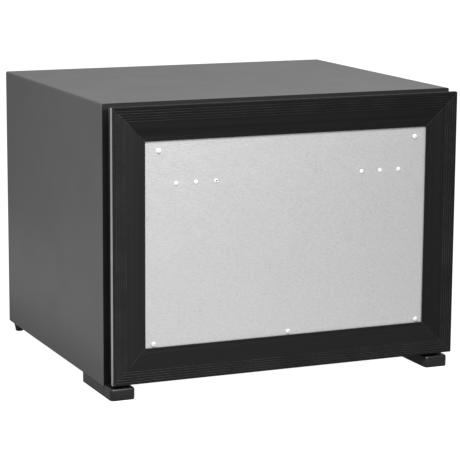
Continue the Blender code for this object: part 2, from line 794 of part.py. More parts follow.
# Drawer front: four lengths of one ribbed profile, mitred round the bare sheet
def profile_outline():
    """The profile's section: distance in from the outer edge, and depth behind the face."""
    face = [(0.0, EDGE_CHAMFER), (EDGE_CHAMFER, 0.0)]
    for i in range(RIB_COUNT):
        start = RIB_START + i * RIB_PITCH
        face.append((start, 0.0))
        face.append((start + 0.25 * RIB_GROOVE, RIB_DEPTH))
        face.append((start + 0.75 * RIB_GROOVE, RIB_DEPTH))
        face.append((start + RIB_GROOVE, 0.0))
    face.append((SLOPE_START, 0.0))
    face.append((SLOPE_END, SLOPE_DROP))
    for i in range(LIP_RIB_COUNT):
        start = SLOPE_END + 0.001 + i * LIP_RIB_PITCH
        face.append((start, LIP_FACE))
        face.append((start + 0.0005, LIP_FACE + 0.0004))
        face.append((start + 0.0010, LIP_FACE))
    lip_back = LIP_FACE + LIP_WALL
    inner_wall = SHEET_EDGE - FIT
    rest = [
        (BORDER, LIP_FACE),
        (BORDER, lip_back),
        (inner_wall, lip_back),
        (inner_wall, LEDGE_FACE),
        (BORDER + SCREW_LEDGE, LEDGE_FACE),
        (BORDER + SCREW_LEDGE, LEDGE_BACK),
        (inner_wall - FRAME_WALL, LEDGE_BACK),
        (inner_wall - FRAME_WALL, SLOPE_DROP + FACE_WALL),
        (SLOPE_START, FACE_WALL),
        (SIDE_SETBACK + FRAME_WALL, FACE_WALL),
        (SIDE_SETBACK + FRAME_WALL, FRAME_DEPTH - FRAME_WALL),
        (REAR_LEDGE, FRAME_DEPTH - FRAME_WALL),
        (REAR_LEDGE, FRAME_DEPTH),
        (SIDE_SETBACK, FRAME_DEPTH),
        (SIDE_SETBACK, FACE_WALL),
        (FRAME_WALL, FACE_WALL),
        (FRAME_WALL, EDGE_DEPTH),
        (0.0, EDGE_DEPTH),
    ]
    return face + rest


def frame_member(name, half_length, place):
    """A length of the profile, mitred at both ends, and stood in place by a rule."""
    made = outline(name, profile_outline(), 1.0, "black_profile")

    def mitred(co):
        reach = half_length - co.x - MITRE_GAP / 2
        return place(math.copysign(reach, co.z), co.x, co.y)

    reshape(made, mitred)
    return made


def on_top(run, across, depth):
    return (run, FACE_Y + depth, FRONT_HIGH - across)


def on_bottom(run, across, depth):
    return (run, FACE_Y + depth, FRONT_LOW + across)


def on_left(run, across, depth):
    return (-FRONT_HALF + across, FACE_Y + depth, FRONT_MIDDLE + run)


def on_right(run, across, depth):
    return (FRONT_HALF - across, FACE_Y + depth, FRONT_MIDDLE + run)


frame_top = frame_member("frame_top", FRONT_HALF, on_top)
frame_bottom = frame_member("frame_bottom", FRONT_HALF, on_bottom)
frame_left = frame_member("frame_left", FRONT_HEIGHT / 2, on_left)
frame_right = frame_member("frame_right", FRONT_HEIGHT / 2, on_right)

# Bare galvanised sheet, held in the frame's slot by five screws, with two rows of three rivets. The pattern
# of screws and rivets stands a little right of the middle
front_sheet = block(
    "front_sheet",
    (-FRONT_HALF + SHEET_EDGE, FACE_Y + SHEET_FACE, FRONT_LOW + SHEET_EDGE),
    (FRONT_HALF - SHEET_EDGE, FACE_Y + SHEET_BACK, FRONT_HIGH - SHEET_EDGE),
    "bare_sheet",
)
screw_places = [
    (PATTERN_SHIFT - TOP_SCREW_X, TOP_SCREW_Z),
    (PATTERN_SHIFT + TOP_SCREW_X, TOP_SCREW_Z),
    (PATTERN_SHIFT - LOW_SCREW_X, LOW_SCREW_Z),
    (PATTERN_SHIFT, LOW_SCREW_Z),
    (PATTERN_SHIFT + LOW_SCREW_X, LOW_SCREW_Z),
]
screw_seat = FACE_Y + SHEET_FACE - FIT
screw_end = screw_seat + SCREW_LENGTH
screw_holes = rods(
    "screw_holes",
    [((x, screw_seat, z), (x, screw_end + FIT, z)) for x, z in screw_places],
    SCREW_SHANK_RADIUS + HOLE_PLAY,
)
rivet_columns = [RIVET_FIRST_X + i * RIVET_PITCH for i in range(3)]
rivet_places = [(PATTERN_SHIFT + sign * x, RIVET_Z) for sign in (-1, 1) for x in rivet_columns]
rivet_holes = rods(
    "rivet_holes",
    [((x, screw_seat, z), (x, FACE_Y + LEDGE_FACE, z)) for x, z in rivet_places],
    RIVET_SHANK_RADIUS + HOLE_PLAY,
)
cut(front_sheet, screw_holes)
cut(front_sheet, rivet_holes)
cut(frame_top, screw_holes)
cut(frame_bottom, screw_holes)

SCREW_PROFILE = [
    (0.0, SCREW_HEAD_HEIGHT),
    (0.55 * SCREW_HEAD_RADIUS, 0.92 * SCREW_HEAD_HEIGHT),
    (0.88 * SCREW_HEAD_RADIUS, 0.60 * SCREW_HEAD_HEIGHT),
    (SCREW_HEAD_RADIUS, 0.0),
    (SCREW_SHANK_RADIUS, 0.0),
    (SCREW_SHANK_RADIUS, -SCREW_LENGTH + 0.002),
    (0.0, -SCREW_LENGTH),
]
for number, (x, z) in enumerate(screw_places, 1):
    screw = turned("sheet_screw_%d" % number, SCREW_PROFILE, 16, "bright_zinc")
    screw.location = (x, screw_seat, z)
    screw.rotation_euler = (math.pi / 2, 0.0, 0.0)
    recess = blocks(
        "screw_recess_%d" % number,
        [
            ((x - 0.0019, screw_seat - 0.004, z - 0.0004), (x + 0.0019, screw_seat - 0.0009, z + 0.0004)),
        ],
    )
    upright = blocks(
        "screw_upright_%d" % number,
        [
            ((x - 0.0004, screw_seat - 0.004, z - 0.0019), (x + 0.0004, screw_seat - 0.0009, z + 0.0019)),
        ],
    )
    cut(screw, recess)
    cut(screw, upright)

# Panel plates: a steel strip behind the sheet on each side, with its three rivets clinched solid to it
RIVET_REACH = LEDGE_FACE - SHEET_FACE + FIT + PLATE_THICKNESS / 2
RIVET_PROFILE = [
    (0.0, RIVET_HEAD_HEIGHT),
    (0.5 * RIVET_HEAD_RADIUS, 0.93 * RIVET_HEAD_HEIGHT),
    (0.86 * RIVET_HEAD_RADIUS, 0.55 * RIVET_HEAD_HEIGHT),
    (RIVET_HEAD_RADIUS, 0.0),
    (RIVET_SHANK_RADIUS, 0.0),
    (RIVET_SHANK_RADIUS, -RIVET_REACH),
    (0.0, -RIVET_REACH),
]
plate_front = FACE_Y + LEDGE_FACE
plate_back = plate_front + PLATE_THICKNESS
plate_reach = (RIVET_FIRST_X - PLATE_MARGIN, rivet_columns[-1] + PLATE_MARGIN)
for side, sign in (("left", -1), ("right", 1)):
    ends = sorted(PATTERN_SHIFT + sign * x for x in plate_reach)
    plate = block(
        "panel_plate_" + side,
        (ends[0], plate_front, RIVET_Z - PLATE_HEIGHT / 2),
        (ends[1], plate_back, RIVET_Z + PLATE_HEIGHT / 2),
        "bright_zinc",
    )
    for number, x in enumerate(rivet_columns, 1):
        rivet = turned("rivet_%s_%d" % (side, number), RIVET_PROFILE, 16)
        rivet.location = (PATTERN_SHIFT + sign * x, screw_seat, RIVET_Z)
        rivet.rotation_euler = (math.pi / 2, 0.0, 0.0)
        join(plate, rivet)

# The third rivet from the left has lost its core, so its bore is open
open_x = PATTERN_SHIFT - RIVET_FIRST_X
open_bore = rods(
    "open_bore",
    [((open_x, screw_seat - 2 * RIVET_HEAD_HEIGHT, RIVET_Z), (open_x, plate_back + FIT, RIVET_Z))],
    RIVET_BORE_RADIUS,
    sides=12,
)
cut(bpy.data.objects["panel_plate_left"], open_bore)

# Drawer front insulation: fills the frame, the space behind the sheet and the inner panel's step
foam_edge = SIDE_SETBACK + FRAME_WALL + FIT
panel_edge = REAR_LEDGE + FIT
panel_front = FACE_Y + FRAME_DEPTH - FRAME_WALL
panel_back = FACE_Y + FRONT_REACH - FIT
step_half = CAVITY_HALF - PANEL_SIDE_GAP
step_low = CAVITY_FLOOR + PANEL_SIDE_GAP
step_high = CAVITY_TOP - PANEL_SIDE_GAP
front_foam = block(
    "front_foam",
    (-FRONT_HALF + foam_edge, FACE_Y + LEDGE_BACK + FIT, FRONT_LOW + foam_edge),
    (FRONT_HALF - foam_edge, panel_front - FIT, FRONT_HIGH - foam_edge),
    "foam",
)
core_edge = BORDER + SCREW_LEDGE + FIT
foam_core = block(
    "foam_core",
    (-FRONT_HALF + core_edge, plate_front, FRONT_LOW + core_edge),
    (FRONT_HALF - core_edge, FACE_Y + FRAME_DEPTH / 2, FRONT_HIGH - core_edge),
)
fill = PANEL_SHEET + FIT
foam_step = block(
    "foam_step",
    (-step_half + fill, FACE_Y + FRAME_DEPTH / 2, step_low + fill),
    (step_half - fill, panel_back - fill, step_high - fill),
)
join(front_foam, foam_core, foam_step)
pocket_ends = (plate_reach[0] - FIT, plate_reach[1] + FIT)
pocket_low = RIVET_Z - PLATE_HEIGHT / 2 - FIT
pocket_high = RIVET_Z + PLATE_HEIGHT / 2 + FIT
plate_pockets = blocks(
    "plate_pockets",
    [
        (
            (PATTERN_SHIFT + min(sign * a for a in pocket_ends), plate_front - FIT, pocket_low),
            (PATTERN_SHIFT + max(sign * a for a in pocket_ends), plate_back + FIT, pocket_high),
        )
        for sign in (-1, 1)
    ],
)
cut(front_foam, plate_pockets)
cut(front_foam, screw_holes)

# Inner panel of the drawer front: a white tray clamped behind the foam, stepped towards the cold space
front_inner_panel = block(
    "front_inner_panel",
    (-FRONT_HALF + panel_edge, panel_front, FRONT_LOW + panel_edge),
    (FRONT_HALF - panel_edge, panel_front + PANEL_SHEET, FRONT_HIGH - panel_edge),
    "white_plastic",
)
panel_step = block(
    "panel_step",
    (-step_half, panel_front, step_low),
    (step_half, panel_back, step_high),
    along=1,
    radius=0.010,
)
step_hollow = block(
    "step_hollow",
    (-step_half + PANEL_SHEET, panel_front - PANEL_SHEET, step_low + PANEL_SHEET),
    (step_half - PANEL_SHEET, panel_back - PANEL_SHEET, step_high - PANEL_SHEET),
)
join(front_inner_panel, panel_step)
cut(front_inner_panel, step_hollow)

# Magnetic gasket: a soft ring on the frame's rear ledge, folded like a bellows on its outer side
gasket_front = FACE_Y + FRAME_DEPTH + FIT
gasket_out = FRONT_HALF - GASKET_INSET
gasket_low = FRONT_LOW + GASKET_INSET
gasket_high = FRONT_HIGH - GASKET_INSET
gasket = block(
    "gasket",
    (-gasket_out, gasket_front, gasket_low),
    (gasket_out, CASE_FRONT - FIT, gasket_high),
    "gasket_grey",
    along=1,
    radius=0.004,
)
gasket_hollow = block(
    "gasket_hollow",
    (-gasket_out + GASKET_WIDTH, gasket_front - FIT, gasket_low + GASKET_WIDTH),
    (gasket_out - GASKET_WIDTH, CASE_FRONT, gasket_high - GASKET_WIDTH),
    along=1,
    radius=0.003,
)
fold_ring = block(
    "fold_ring",
    (-gasket_out - GASKET_FOLD, gasket_front + 0.0025, gasket_low - GASKET_FOLD),
    (gasket_out + GASKET_FOLD, gasket_front + 0.0050, gasket_high + GASKET_FOLD),
)
fold_core = block(
    "fold_core",
    (-gasket_out + GASKET_FOLD, gasket_front, gasket_low + GASKET_FOLD),
    (gasket_out - GASKET_FOLD, CASE_FRONT, gasket_high - GASKET_FOLD),
)
cut(fold_ring, fold_core)
cut(gasket, gasket_hollow)
cut(gasket, fold_ring)


# Telescopic runners: each section is a channel, given by its distance from the cavity wall and half height
def channel(name, near, far, half_height, sheet, web_at_far, start, length, finish):
    """A folded steel channel along Y, at the right-hand wall; its web is on the near or the far side."""
    web = far - sheet if web_at_far else near + sheet
    if web_at_far:
        section = [
            (near, half_height),
            (far, half_height),
            (far, -half_height),
            (near, -half_height),
            (near, -half_height + sheet),
            (web, -half_height + sheet),
            (web, half_height - sheet),
            (near, half_height - sheet),
        ]
    else:
        section = [
            (far, half_height),
            (near, half_height),
            (near, -half_height),
            (far, -half_height),
            (far, -half_height + sheet),
            (web, -half_height + sheet),
            (web, half_height - sheet),
            (far, half_height - sheet),
        ]
    made = outline(name, section, length / 2, finish)
    middle = CASE_FRONT + start + length / 2

    def stand(co):
        return (RUNNER_FACE - co.x, middle + co.z, RUNNER_Z + co.y)

    reshape(made, stand)
    return made


OUTER_HALF = RUNNER_HEIGHT / 2
MIDDLE_HALF = OUTER_HALF - RUNNER_SHEET - RUNNER_STEP
INNER_HALF = MIDDLE_HALF - RUNNER_SHEET - RUNNER_STEP
runner_outer = channel(
    "runner_outer_right",
    0.0,
    OUTER_MOUTH,
    OUTER_HALF,
    RUNNER_SHEET,
    False,
    RUNNER_START,
    RUNNER_LENGTH,
    "zinc",
)
runner_middle = channel(
    "runner_middle_right",
    MIDDLE_WEB,
    MIDDLE_MOUTH,
    MIDDLE_HALF,
    RUNNER_SHEET,
    False,
    RUNNER_START,
    RUNNER_LENGTH,
    "zinc",
)
runner_inner = channel(
    "runner_inner_right",
    INNER_MOUTH,
    RUNNER_THICKNESS,
    INNER_HALF,
    RUNNER_SHEET,
    True,
    0.0,
    RUNNER_LENGTH,
    "zinc",
)
runner_web = RUNNER_FACE - RUNNER_THICKNESS
inner_tab = block(
    "inner_tab",
    (runner_web - TAB_REACH, CASE_FRONT, RUNNER_Z - INNER_HALF),
    (runner_web + RUNNER_SHEET / 2, CASE_FRONT + TAB_SHEET, RUNNER_Z + INNER_HALF),
)


def cage(name, near, half_height, ball_half):
    """A ball cage: a thin channel whose flanges carry a row of balls above and below."""
    made = channel(name, near, CAGE_MOUTH, half_height, CAGE_SHEET, False, CAGE_START, CAGE_LENGTH, "bright_zinc")
    bm = bmesh.new()
    pitch = CAGE_LENGTH / BALL_COUNT
    for i in range(BALL_COUNT):
        along = CASE_FRONT + CAGE_START + (i + 0.5) * pitch
        for sign in (-1, 1):
            place = Matrix.Translation((RUNNER_FACE - 0.0072, along, RUNNER_Z + sign * ball_half))
            bmesh.ops.create_uvsphere(bm, u_segments=6, v_segments=4, radius=BALL_RADIUS, matrix=place)
    balls = add_object(name + "_balls", mesh_of(name + "_balls", bm))
    join(made, balls)
    return made


outer_ball_half = OUTER_HALF - RUNNER_SHEET - RUNNER_STEP / 2
inner_ball_half = MIDDLE_HALF - RUNNER_SHEET - RUNNER_STEP / 2
cage_outer = cage("cage_outer_right", 0.0018, outer_ball_half + CAGE_SHEET / 2, outer_ball_half)
cage_inner = cage("cage_inner_right", 0.0051, inner_ball_half + CAGE_SHEET / 2, inner_ball_half)
mirrored(runner_outer, "runner_outer_left", "zinc")
mirrored(runner_middle, "runner_middle_left", "zinc")
runner_inner_left = mirrored(runner_inner, "runner_inner_left", "zinc")
cage_outer_left = mirrored(cage_outer, "cage_outer_left", "bright_zinc")
cage_inner_left = mirrored(cage_inner, "cage_inner_left", "bright_zinc")
inner_tab_left = block(
    "inner_tab_left",
    (-runner_web - RUNNER_SHEET / 2, CASE_FRONT, RUNNER_Z - INNER_HALF),
    (-runner_web + TAB_REACH, CASE_FRONT + TAB_SHEET, RUNNER_Z + INNER_HALF),
)
join(runner_inner, inner_tab)
join(runner_inner_left, inner_tab_left)
for made, twin in ((cage_outer, cage_outer_left), (cage_inner, cage_inner_left)):
    balls = bpy.data.objects[made.name + "_balls"]
    twin_balls = add_object(twin.name + "_balls", balls.data.copy())

    def across(co):
        return (-co.x, co.y, co.z)

    reshape(twin_balls, across)
    join(twin, twin_balls)

# Drawer bin: an open grey tub with a lip all round, carried by the runners' inner sections
bin_low = (-BIN_HALF + BIN_WALL, CASE_FRONT + BIN_START + BIN_WALL, BIN_FLOOR + BIN_WALL)
bin_high = (BIN_HALF - BIN_WALL, CASE_FRONT + BIN_START + BIN_DEPTH - BIN_WALL, BIN_TOP)
drawer_bin = tub(
    "drawer_bin",
    bin_low,
    bin_high,
    (2, 1),
    BIN_RADIUS,
    3,
    BIN_WALL,
    BIN_LIP,
    "grey_plastic",
)
for side, sign in (("left", -1), ("right", 1)):
    x = sign * DIVIDER_X
    divider = block(
        "divider_" + side,
        (x - DIVIDER_THICKNESS / 2, bin_low[1] + FIT, bin_low[2] + FIT),
        (x + DIVIDER_THICKNESS / 2, bin_high[1] - FIT, bin_low[2] + DIVIDER_HEIGHT),
        "clear_plastic",
        along=0,
        radius=BIN_RADIUS,
    )

# Bottle rail: one chromed wire standing on the bin's lip by four legs
rail_x = BIN_HALF - BIN_WALL + BIN_LIP / 2
rail_front = bin_low[1] + 0.012
rail_back = bin_high[1] + BIN_LIP / 2
rail_foot = BIN_TOP + FIT
rail_top = rail_foot + RAIL_RISE
rail_corners = [
    (-rail_x, rail_front, rail_foot),
    (-rail_x, rail_front, rail_top),
    (-rail_x, rail_back, rail_top),
    (rail_x, rail_back, rail_top),
    (rail_x, rail_front, rail_top),
    (rail_x, rail_front, rail_foot),
]
bottle_rail = tube("bottle_rail", rounded_route(rail_corners, RAIL_BEND), RAIL_RADIUS, "chrome")
smooth(bottle_rail)
leg_x = rail_x - 2 * RAIL_BEND
rail_legs = rods(
    "rail_legs",
    [((sign * leg_x, rail_back, rail_foot), (sign * leg_x, rail_back, rail_top)) for sign in (-1, 1)],
    RAIL_RADIUS * 0.9,
    sides=12,
)
join(bottle_rail, rail_legs)

# Evaporator plug: the insulated block through which the cooling unit reaches the cold space
evaporator_plug = block(
    "evaporator_plug",
    (-PLUG_WIDTH / 2, CAVITY_BACK, PLUG_LOW),
    (PLUG_WIDTH / 2, BAY_FRONT + FIT, PLUG_TOP),
    "foam",
)
plug_cover = block(
    "plug_cover",
    (-PLUG_WIDTH / 2 - PLUG_FLANGE, BAY_FRONT + FIT, PLUG_LOW - PLUG_FLANGE),
    (PLUG_WIDTH / 2 + PLUG_FLANGE, BAY_FRONT + FIT + PLUG_COVER, PLUG_TOP + PLUG_FLANGE),
)
join(evaporator_plug, plug_cover)
plug_back = BAY_FRONT + FIT + PLUG_COVER
liquid_stub = (LIQUID_INLET_X, EVAPORATOR_Z)
gas_stub = (GAS_X, EVAPORATOR_Z - 0.010)
stub_ends = []
for x, z in (liquid_stub, gas_stub):
    stub_ends.append(((x, CAVITY_BACK - EVAPORATOR_BASE, z), (x, plug_back, z)))
stub_holes = rods("stub_holes", stub_ends, CONDENSER_RADIUS + FIT)
cut(evaporator_plug, stub_holes)


# Evaporator: an aluminium comb of upright fins, with the two tube ends that pass through the plug
evaporator_back = CAVITY_BACK - FIT
evaporator_web = evaporator_back - EVAPORATOR_BASE
evaporator_low = EVAPORATOR_Z - EVAPORATOR_HEIGHT / 2
evaporator_high = EVAPORATOR_Z + EVAPORATOR_HEIGHT / 2
evaporator = block(
    "evaporator",
    (-EVAPORATOR_WIDTH / 2, evaporator_web, evaporator_low),
    (EVAPORATOR_WIDTH / 2, evaporator_back, evaporator_high),
    "aluminium",
)
fin_pitch = (EVAPORATOR_WIDTH - FIN_THICKNESS) / FIN_COUNT
fins = []
for i in range(FIN_COUNT):
    x = (i - (FIN_COUNT - 1) / 2) * fin_pitch
    low = (x - FIN_THICKNESS / 2, evaporator_web - FIN_DEPTH, evaporator_low + 0.001)
    high = (x + FIN_THICKNESS / 2, evaporator_web + 0.001, evaporator_high - 0.001)
    fins.append((low, high))
evaporator_fins = blocks("evaporator_fins", fins)
join(evaporator, evaporator_fins)
stub_starts = [((a[0], CAVITY_BACK - EVAPORATOR_BASE / 2, a[2]), b) for a, b in stub_ends]
stubs = rods("evaporator_stubs", stub_starts, CONDENSER_RADIUS)
join(evaporator, stubs)

# Drip tray below the evaporator, its drain tube through the rear wall, and the dish over the warm vessel
drip_tray = tub(
    "drip_tray",
    (-TRAY_WIDTH / 2, CAVITY_BACK - FIT - TRAY_WALL - TRAY_DEPTH, TRAY_LOW + TRAY_WALL),
    (TRAY_WIDTH / 2, CAVITY_BACK - FIT - TRAY_WALL, TRAY_TOP),
    (2, 1),
    0.003,
    2,
    TRAY_WALL,
    0.0,
    "white_plastic",
)
cut(drip_tray, drain_hole)
drain_x = 0.0
drain_turn = BAY_FRONT + DRAIN_WALL_GAP
dish_low = VESSEL_TOP + FIT
drain_corners = [
    (drain_x, CAVITY_BACK - 3 * TRAY_WALL, DRAIN_Z),
    (drain_x, drain_turn, DRAIN_Z),
    (drain_x, drain_turn, dish_low + 0.008),
]
drain_tube = tube("drain_tube", rounded_route(drain_corners, 0.014), DRAIN_RADIUS, "grey_plastic")
smooth(drain_tube)
bore_corners = [
    (drain_x, drain_corners[0][1] - DRAIN_RADIUS, DRAIN_Z),
    drain_corners[1],
    (drain_x, drain_turn, drain_corners[2][2] - DRAIN_RADIUS),
]
drain_bore = tube("drain_bore", rounded_route(bore_corners, 0.014), DRAIN_BORE, None)
cut(drain_tube, drain_bore)
evaporation_dish = tub(
    "evaporation_dish",
    (drain_x - DISH_LENGTH / 2, UNIT_BACK - DISH_DEPTH * 0.62, dish_low + TRAY_WALL),
    (drain_x + DISH_LENGTH / 2, UNIT_BACK + DISH_DEPTH * 0.38, dish_low + DISH_HEIGHT),
    (2, 1),
    0.005,
    2,
    TRAY_WALL,
    0.0,
    "black_plastic",
)

# Absorber vessel: a welded steel drum lying across the bottom of the bay
vessel_length = VESSEL_END_X - VESSEL_START_X
VESSEL_DOME = 0.010
absorber_vessel = turned(
    "absorber_vessel",
    [
        (0.0, vessel_length / 2),
        (0.45 * VESSEL_RADIUS, vessel_length / 2 - 0.08 * VESSEL_DOME),
        (0.80 * VESSEL_RADIUS, vessel_length / 2 - 0.40 * VESSEL_DOME),
        (VESSEL_RADIUS, vessel_length / 2 - VESSEL_DOME),
        (VESSEL_RADIUS, -vessel_length / 2 + VESSEL_DOME),
        (0.80 * VESSEL_RADIUS, -vessel_length / 2 + 0.40 * VESSEL_DOME),
        (0.45 * VESSEL_RADIUS, -vessel_length / 2 + 0.08 * VESSEL_DOME),
        (0.0, -vessel_length / 2),
    ],
    24,
    "unit_paint",
)
absorber_vessel.location = ((VESSEL_START_X + VESSEL_END_X) / 2, UNIT_BACK, VESSEL_Z)
absorber_vessel.rotation_euler = (0.0, math.pi / 2, 0.0)

# Absorber coil: one tube that climbs from the vessel in flat passes and ends at the gas exchanger
coil_corners = [(COIL_LEFT_X, UNIT_BACK, PIPE_FOOT), (COIL_LEFT_X, UNIT_BACK, COIL_LOW)]
coil_corners.append((COIL_LEFT_X, COIL_BACK, COIL_LOW))
for i in range(COIL_PASSES):
    forward = i % 2 == 0
    last = i == COIL_PASSES - 1
    z = COIL_LOW + i * COIL_PITCH
    end_x = COIL_RIGHT_X if forward else COIL_LEFT_X
    if last:
        end_x = GAS_X
    coil_corners.append((end_x, COIL_BACK, z + COIL_SLOPE))
    if not last:
        coil_corners.append((end_x, COIL_BACK, z + COIL_PITCH))
coil_corners.append((GAS_X, UNIT_BACK + GAS_RADIUS + FIT, coil_corners[-1][2]))
absorber_coil = tube("absorber_coil", rounded_route(coil_corners, COIL_BEND * 0.93), COIL_RADIUS, "unit_paint")
smooth(absorber_coil)

# Gas heat exchanger: the wide tube from the evaporator's plug down to the vessel
gas_corners = [
    (GAS_X, plug_back + FIT, gas_stub[1]),
    (GAS_X, UNIT_BACK, gas_stub[1]),
    (GAS_X, UNIT_BACK, PIPE_FOOT),
]
gas_exchanger = tube("gas_exchanger", rounded_route(gas_corners, GAS_BEND), GAS_RADIUS, "unit_paint")
smooth(gas_exchanger)

# Liquid heat exchanger: from the vessel's end, low along the bay, up into the boiler tube
liquid_low = VESSEL_Z - LIQUID_DROP
liquid_corners = [
    (VESSEL_END_X + FIT, UNIT_BACK, VESSEL_Z),
    (VESSEL_END_X + 0.030, UNIT_BACK, VESSEL_Z),
    (VESSEL_END_X + 0.030, UNIT_BACK, liquid_low),
    (BOILER_X, UNIT_BACK, liquid_low),
    (BOILER_X, UNIT_BACK, BOILER_TUBE_BOTTOM - FIT),
]
liquid_exchanger = tube("liquid_exchanger", rounded_route(liquid_corners, 0.012), LIQUID_RADIUS, "unit_paint")
smooth(liquid_exchanger)

# Boiler: the upright tube with its rectifier, the heater beside it, mineral wool and a sheet casing
boiler_tube = turned(
    "boiler_tube",
    [
        (0.0, BOILER_TUBE_TOP),
        (BOILER_TUBE_RADIUS, BOILER_TUBE_TOP),
        (BOILER_TUBE_RADIUS, BOILER_TOP + 0.013),
        (RECTIFIER_RADIUS, BOILER_TOP + 0.011),
        (RECTIFIER_RADIUS, BOILER_TOP + 0.004),
        (BOILER_TUBE_RADIUS, BOILER_TOP + 0.002),
        (BOILER_TUBE_RADIUS, BOILER_TUBE_BOTTOM),
        (0.0, BOILER_TUBE_BOTTOM),
    ],
    16,
    "unit_paint",
)
boiler_tube.location = (BOILER_X, UNIT_BACK, 0.0)
heater_x = BOILER_X - BOILER_TUBE_RADIUS - HEATER_RADIUS - FIT
heater_top = BOILER_TOP + 0.0015
heater_cartridge = turned(
    "heater_cartridge",
    [
        (0.0, heater_top),
        (HEATER_RADIUS - 0.001, heater_top),
        (HEATER_RADIUS, heater_top - 0.001),
        (HEATER_RADIUS, heater_top - HEATER_LENGTH),
        (0.0, heater_top - HEATER_LENGTH),
    ],
    16,
    "zinc",
)
heater_cartridge.location = (heater_x, UNIT_BACK, 0.0)
boiler_bores = rods(
    "boiler_bore",
    [((BOILER_X, UNIT_BACK, BOILER_BOTTOM - 0.01), (BOILER_X, UNIT_BACK, BOILER_TOP + 0.01))],
    BOILER_TUBE_RADIUS + FIT,
    sides=24,
)
heater_bore = rods(
    "heater_bore",
    [((heater_x, UNIT_BACK, heater_top - HEATER_LENGTH - FIT), (heater_x, UNIT_BACK, BOILER_TOP + 0.01))],
    HEATER_RADIUS + FIT,
    sides=24,
)
boiler_casing = turned(
    "boiler_casing",
    [
        (0.0, BOILER_TOP),
        (BOILER_RADIUS, BOILER_TOP),
        (BOILER_RADIUS, BOILER_BOTTOM),
        (0.0, BOILER_BOTTOM),
    ],
    28,
    "zinc",
)
boiler_casing.location = (BOILER_X, UNIT_BACK, 0.0)
casing_hollow = turned(
    "casing_hollow",
    [
        (0.0, BOILER_TOP - BOILER_SHEET),
        (BOILER_RADIUS - BOILER_SHEET, BOILER_TOP - BOILER_SHEET),
        (BOILER_RADIUS - BOILER_SHEET, BOILER_BOTTOM + BOILER_SHEET),
        (0.0, BOILER_BOTTOM + BOILER_SHEET),
    ],
    28,
)
casing_hollow.location = (BOILER_X, UNIT_BACK, 0.0)
cut(boiler_casing, casing_hollow)
wool_gap = BOILER_SHEET + FIT
boiler_wool = turned(
    "boiler_wool",
    [
        (0.0, BOILER_TOP - wool_gap),
        (BOILER_RADIUS - wool_gap, BOILER_TOP - wool_gap),
        (BOILER_RADIUS - wool_gap, BOILER_BOTTOM + wool_gap),
        (0.0, BOILER_BOTTOM + wool_gap),
    ],
    28,
    "mineral_wool",
)
boiler_wool.location = (BOILER_X, UNIT_BACK, 0.0)
for layer in (boiler_casing, boiler_wool):
    cut(layer, boiler_bores)
    cut(layer, heater_bore)

# Condenser: from the boiler up and across under the top, with sheet fins, then down to the evaporator
condenser_corners = [
    (BOILER_X, UNIT_BACK, BOILER_TUBE_TOP + FIT),
    (BOILER_X, UNIT_BACK, CONDENSER_Z),
    (CONDENSER_LEFT_X, UNIT_BACK, CONDENSER_Z - CONDENSER_SLOPE),
    (CONDENSER_LEFT_X, UNIT_BACK, EVAPORATOR_Z),
    (LIQUID_INLET_X, UNIT_BACK, EVAPORATOR_Z),
    (LIQUID_INLET_X, plug_back + FIT, EVAPORATOR_Z),
]
condenser = tube("condenser", rounded_route(condenser_corners, CONDENSER_BEND), CONDENSER_RADIUS, "unit_paint")
smooth(condenser)
fin_boxes = []
for i in range(COOLING_FIN_COUNT):
    x = COOLING_FIN_FIRST_X + i * COOLING_FIN_PITCH
    share = (BOILER_X - x) / (BOILER_X - CONDENSER_LEFT_X)
    z = CONDENSER_Z - share * CONDENSER_SLOPE
    low = (x - COOLING_FIN_SHEET / 2, UNIT_BACK - COOLING_FIN_WIDTH / 2, z - COOLING_FIN_HEIGHT / 2)
    high = (x + COOLING_FIN_SHEET / 2, UNIT_BACK + COOLING_FIN_WIDTH / 2, z + COOLING_FIN_HEIGHT / 2)
    fin_boxes.append((low, high))
cooling_fins = blocks("cooling_fins", fin_boxes)
join(condenser, cooling_fins)

# Unit brackets: a hat-shaped strap that carries the coil, and a cradle that carries the vessel
strap_low = COIL_LOW - COIL_RADIUS - 0.006
strap_high = COIL_LOW + (COIL_PASSES - 2) * COIL_PITCH + COIL_SLOPE + COIL_RADIUS + 0.004
strap_front = BAY_FRONT + FIT
strap_back = COIL_BACK - COIL_RADIUS - FIT
strap_section = [
    (strap_front, strap_low - 0.014),
    (strap_front + BRACKET_SHEET, strap_low - 0.014),
    (strap_front + BRACKET_SHEET, strap_low),
    (strap_back, strap_low),
    (strap_back, strap_high),
    (strap_front + BRACKET_SHEET, strap_high),
    (strap_front + BRACKET_SHEET, strap_high + 0.014),
    (strap_front, strap_high + 0.014),
    (strap_front, strap_high - BRACKET_SHEET),
    (strap_back - BRACKET_SHEET, strap_high - BRACKET_SHEET),
    (strap_back - BRACKET_SHEET, strap_low + BRACKET_SHEET),
    (strap_front, strap_low + BRACKET_SHEET),
]
unit_bracket_upper = outline("unit_bracket_upper", strap_section, BRACKET_WIDTH / 2, "zinc")


def across_bay(co):
    return (BRACKET_X + co.z, co.x, co.y)


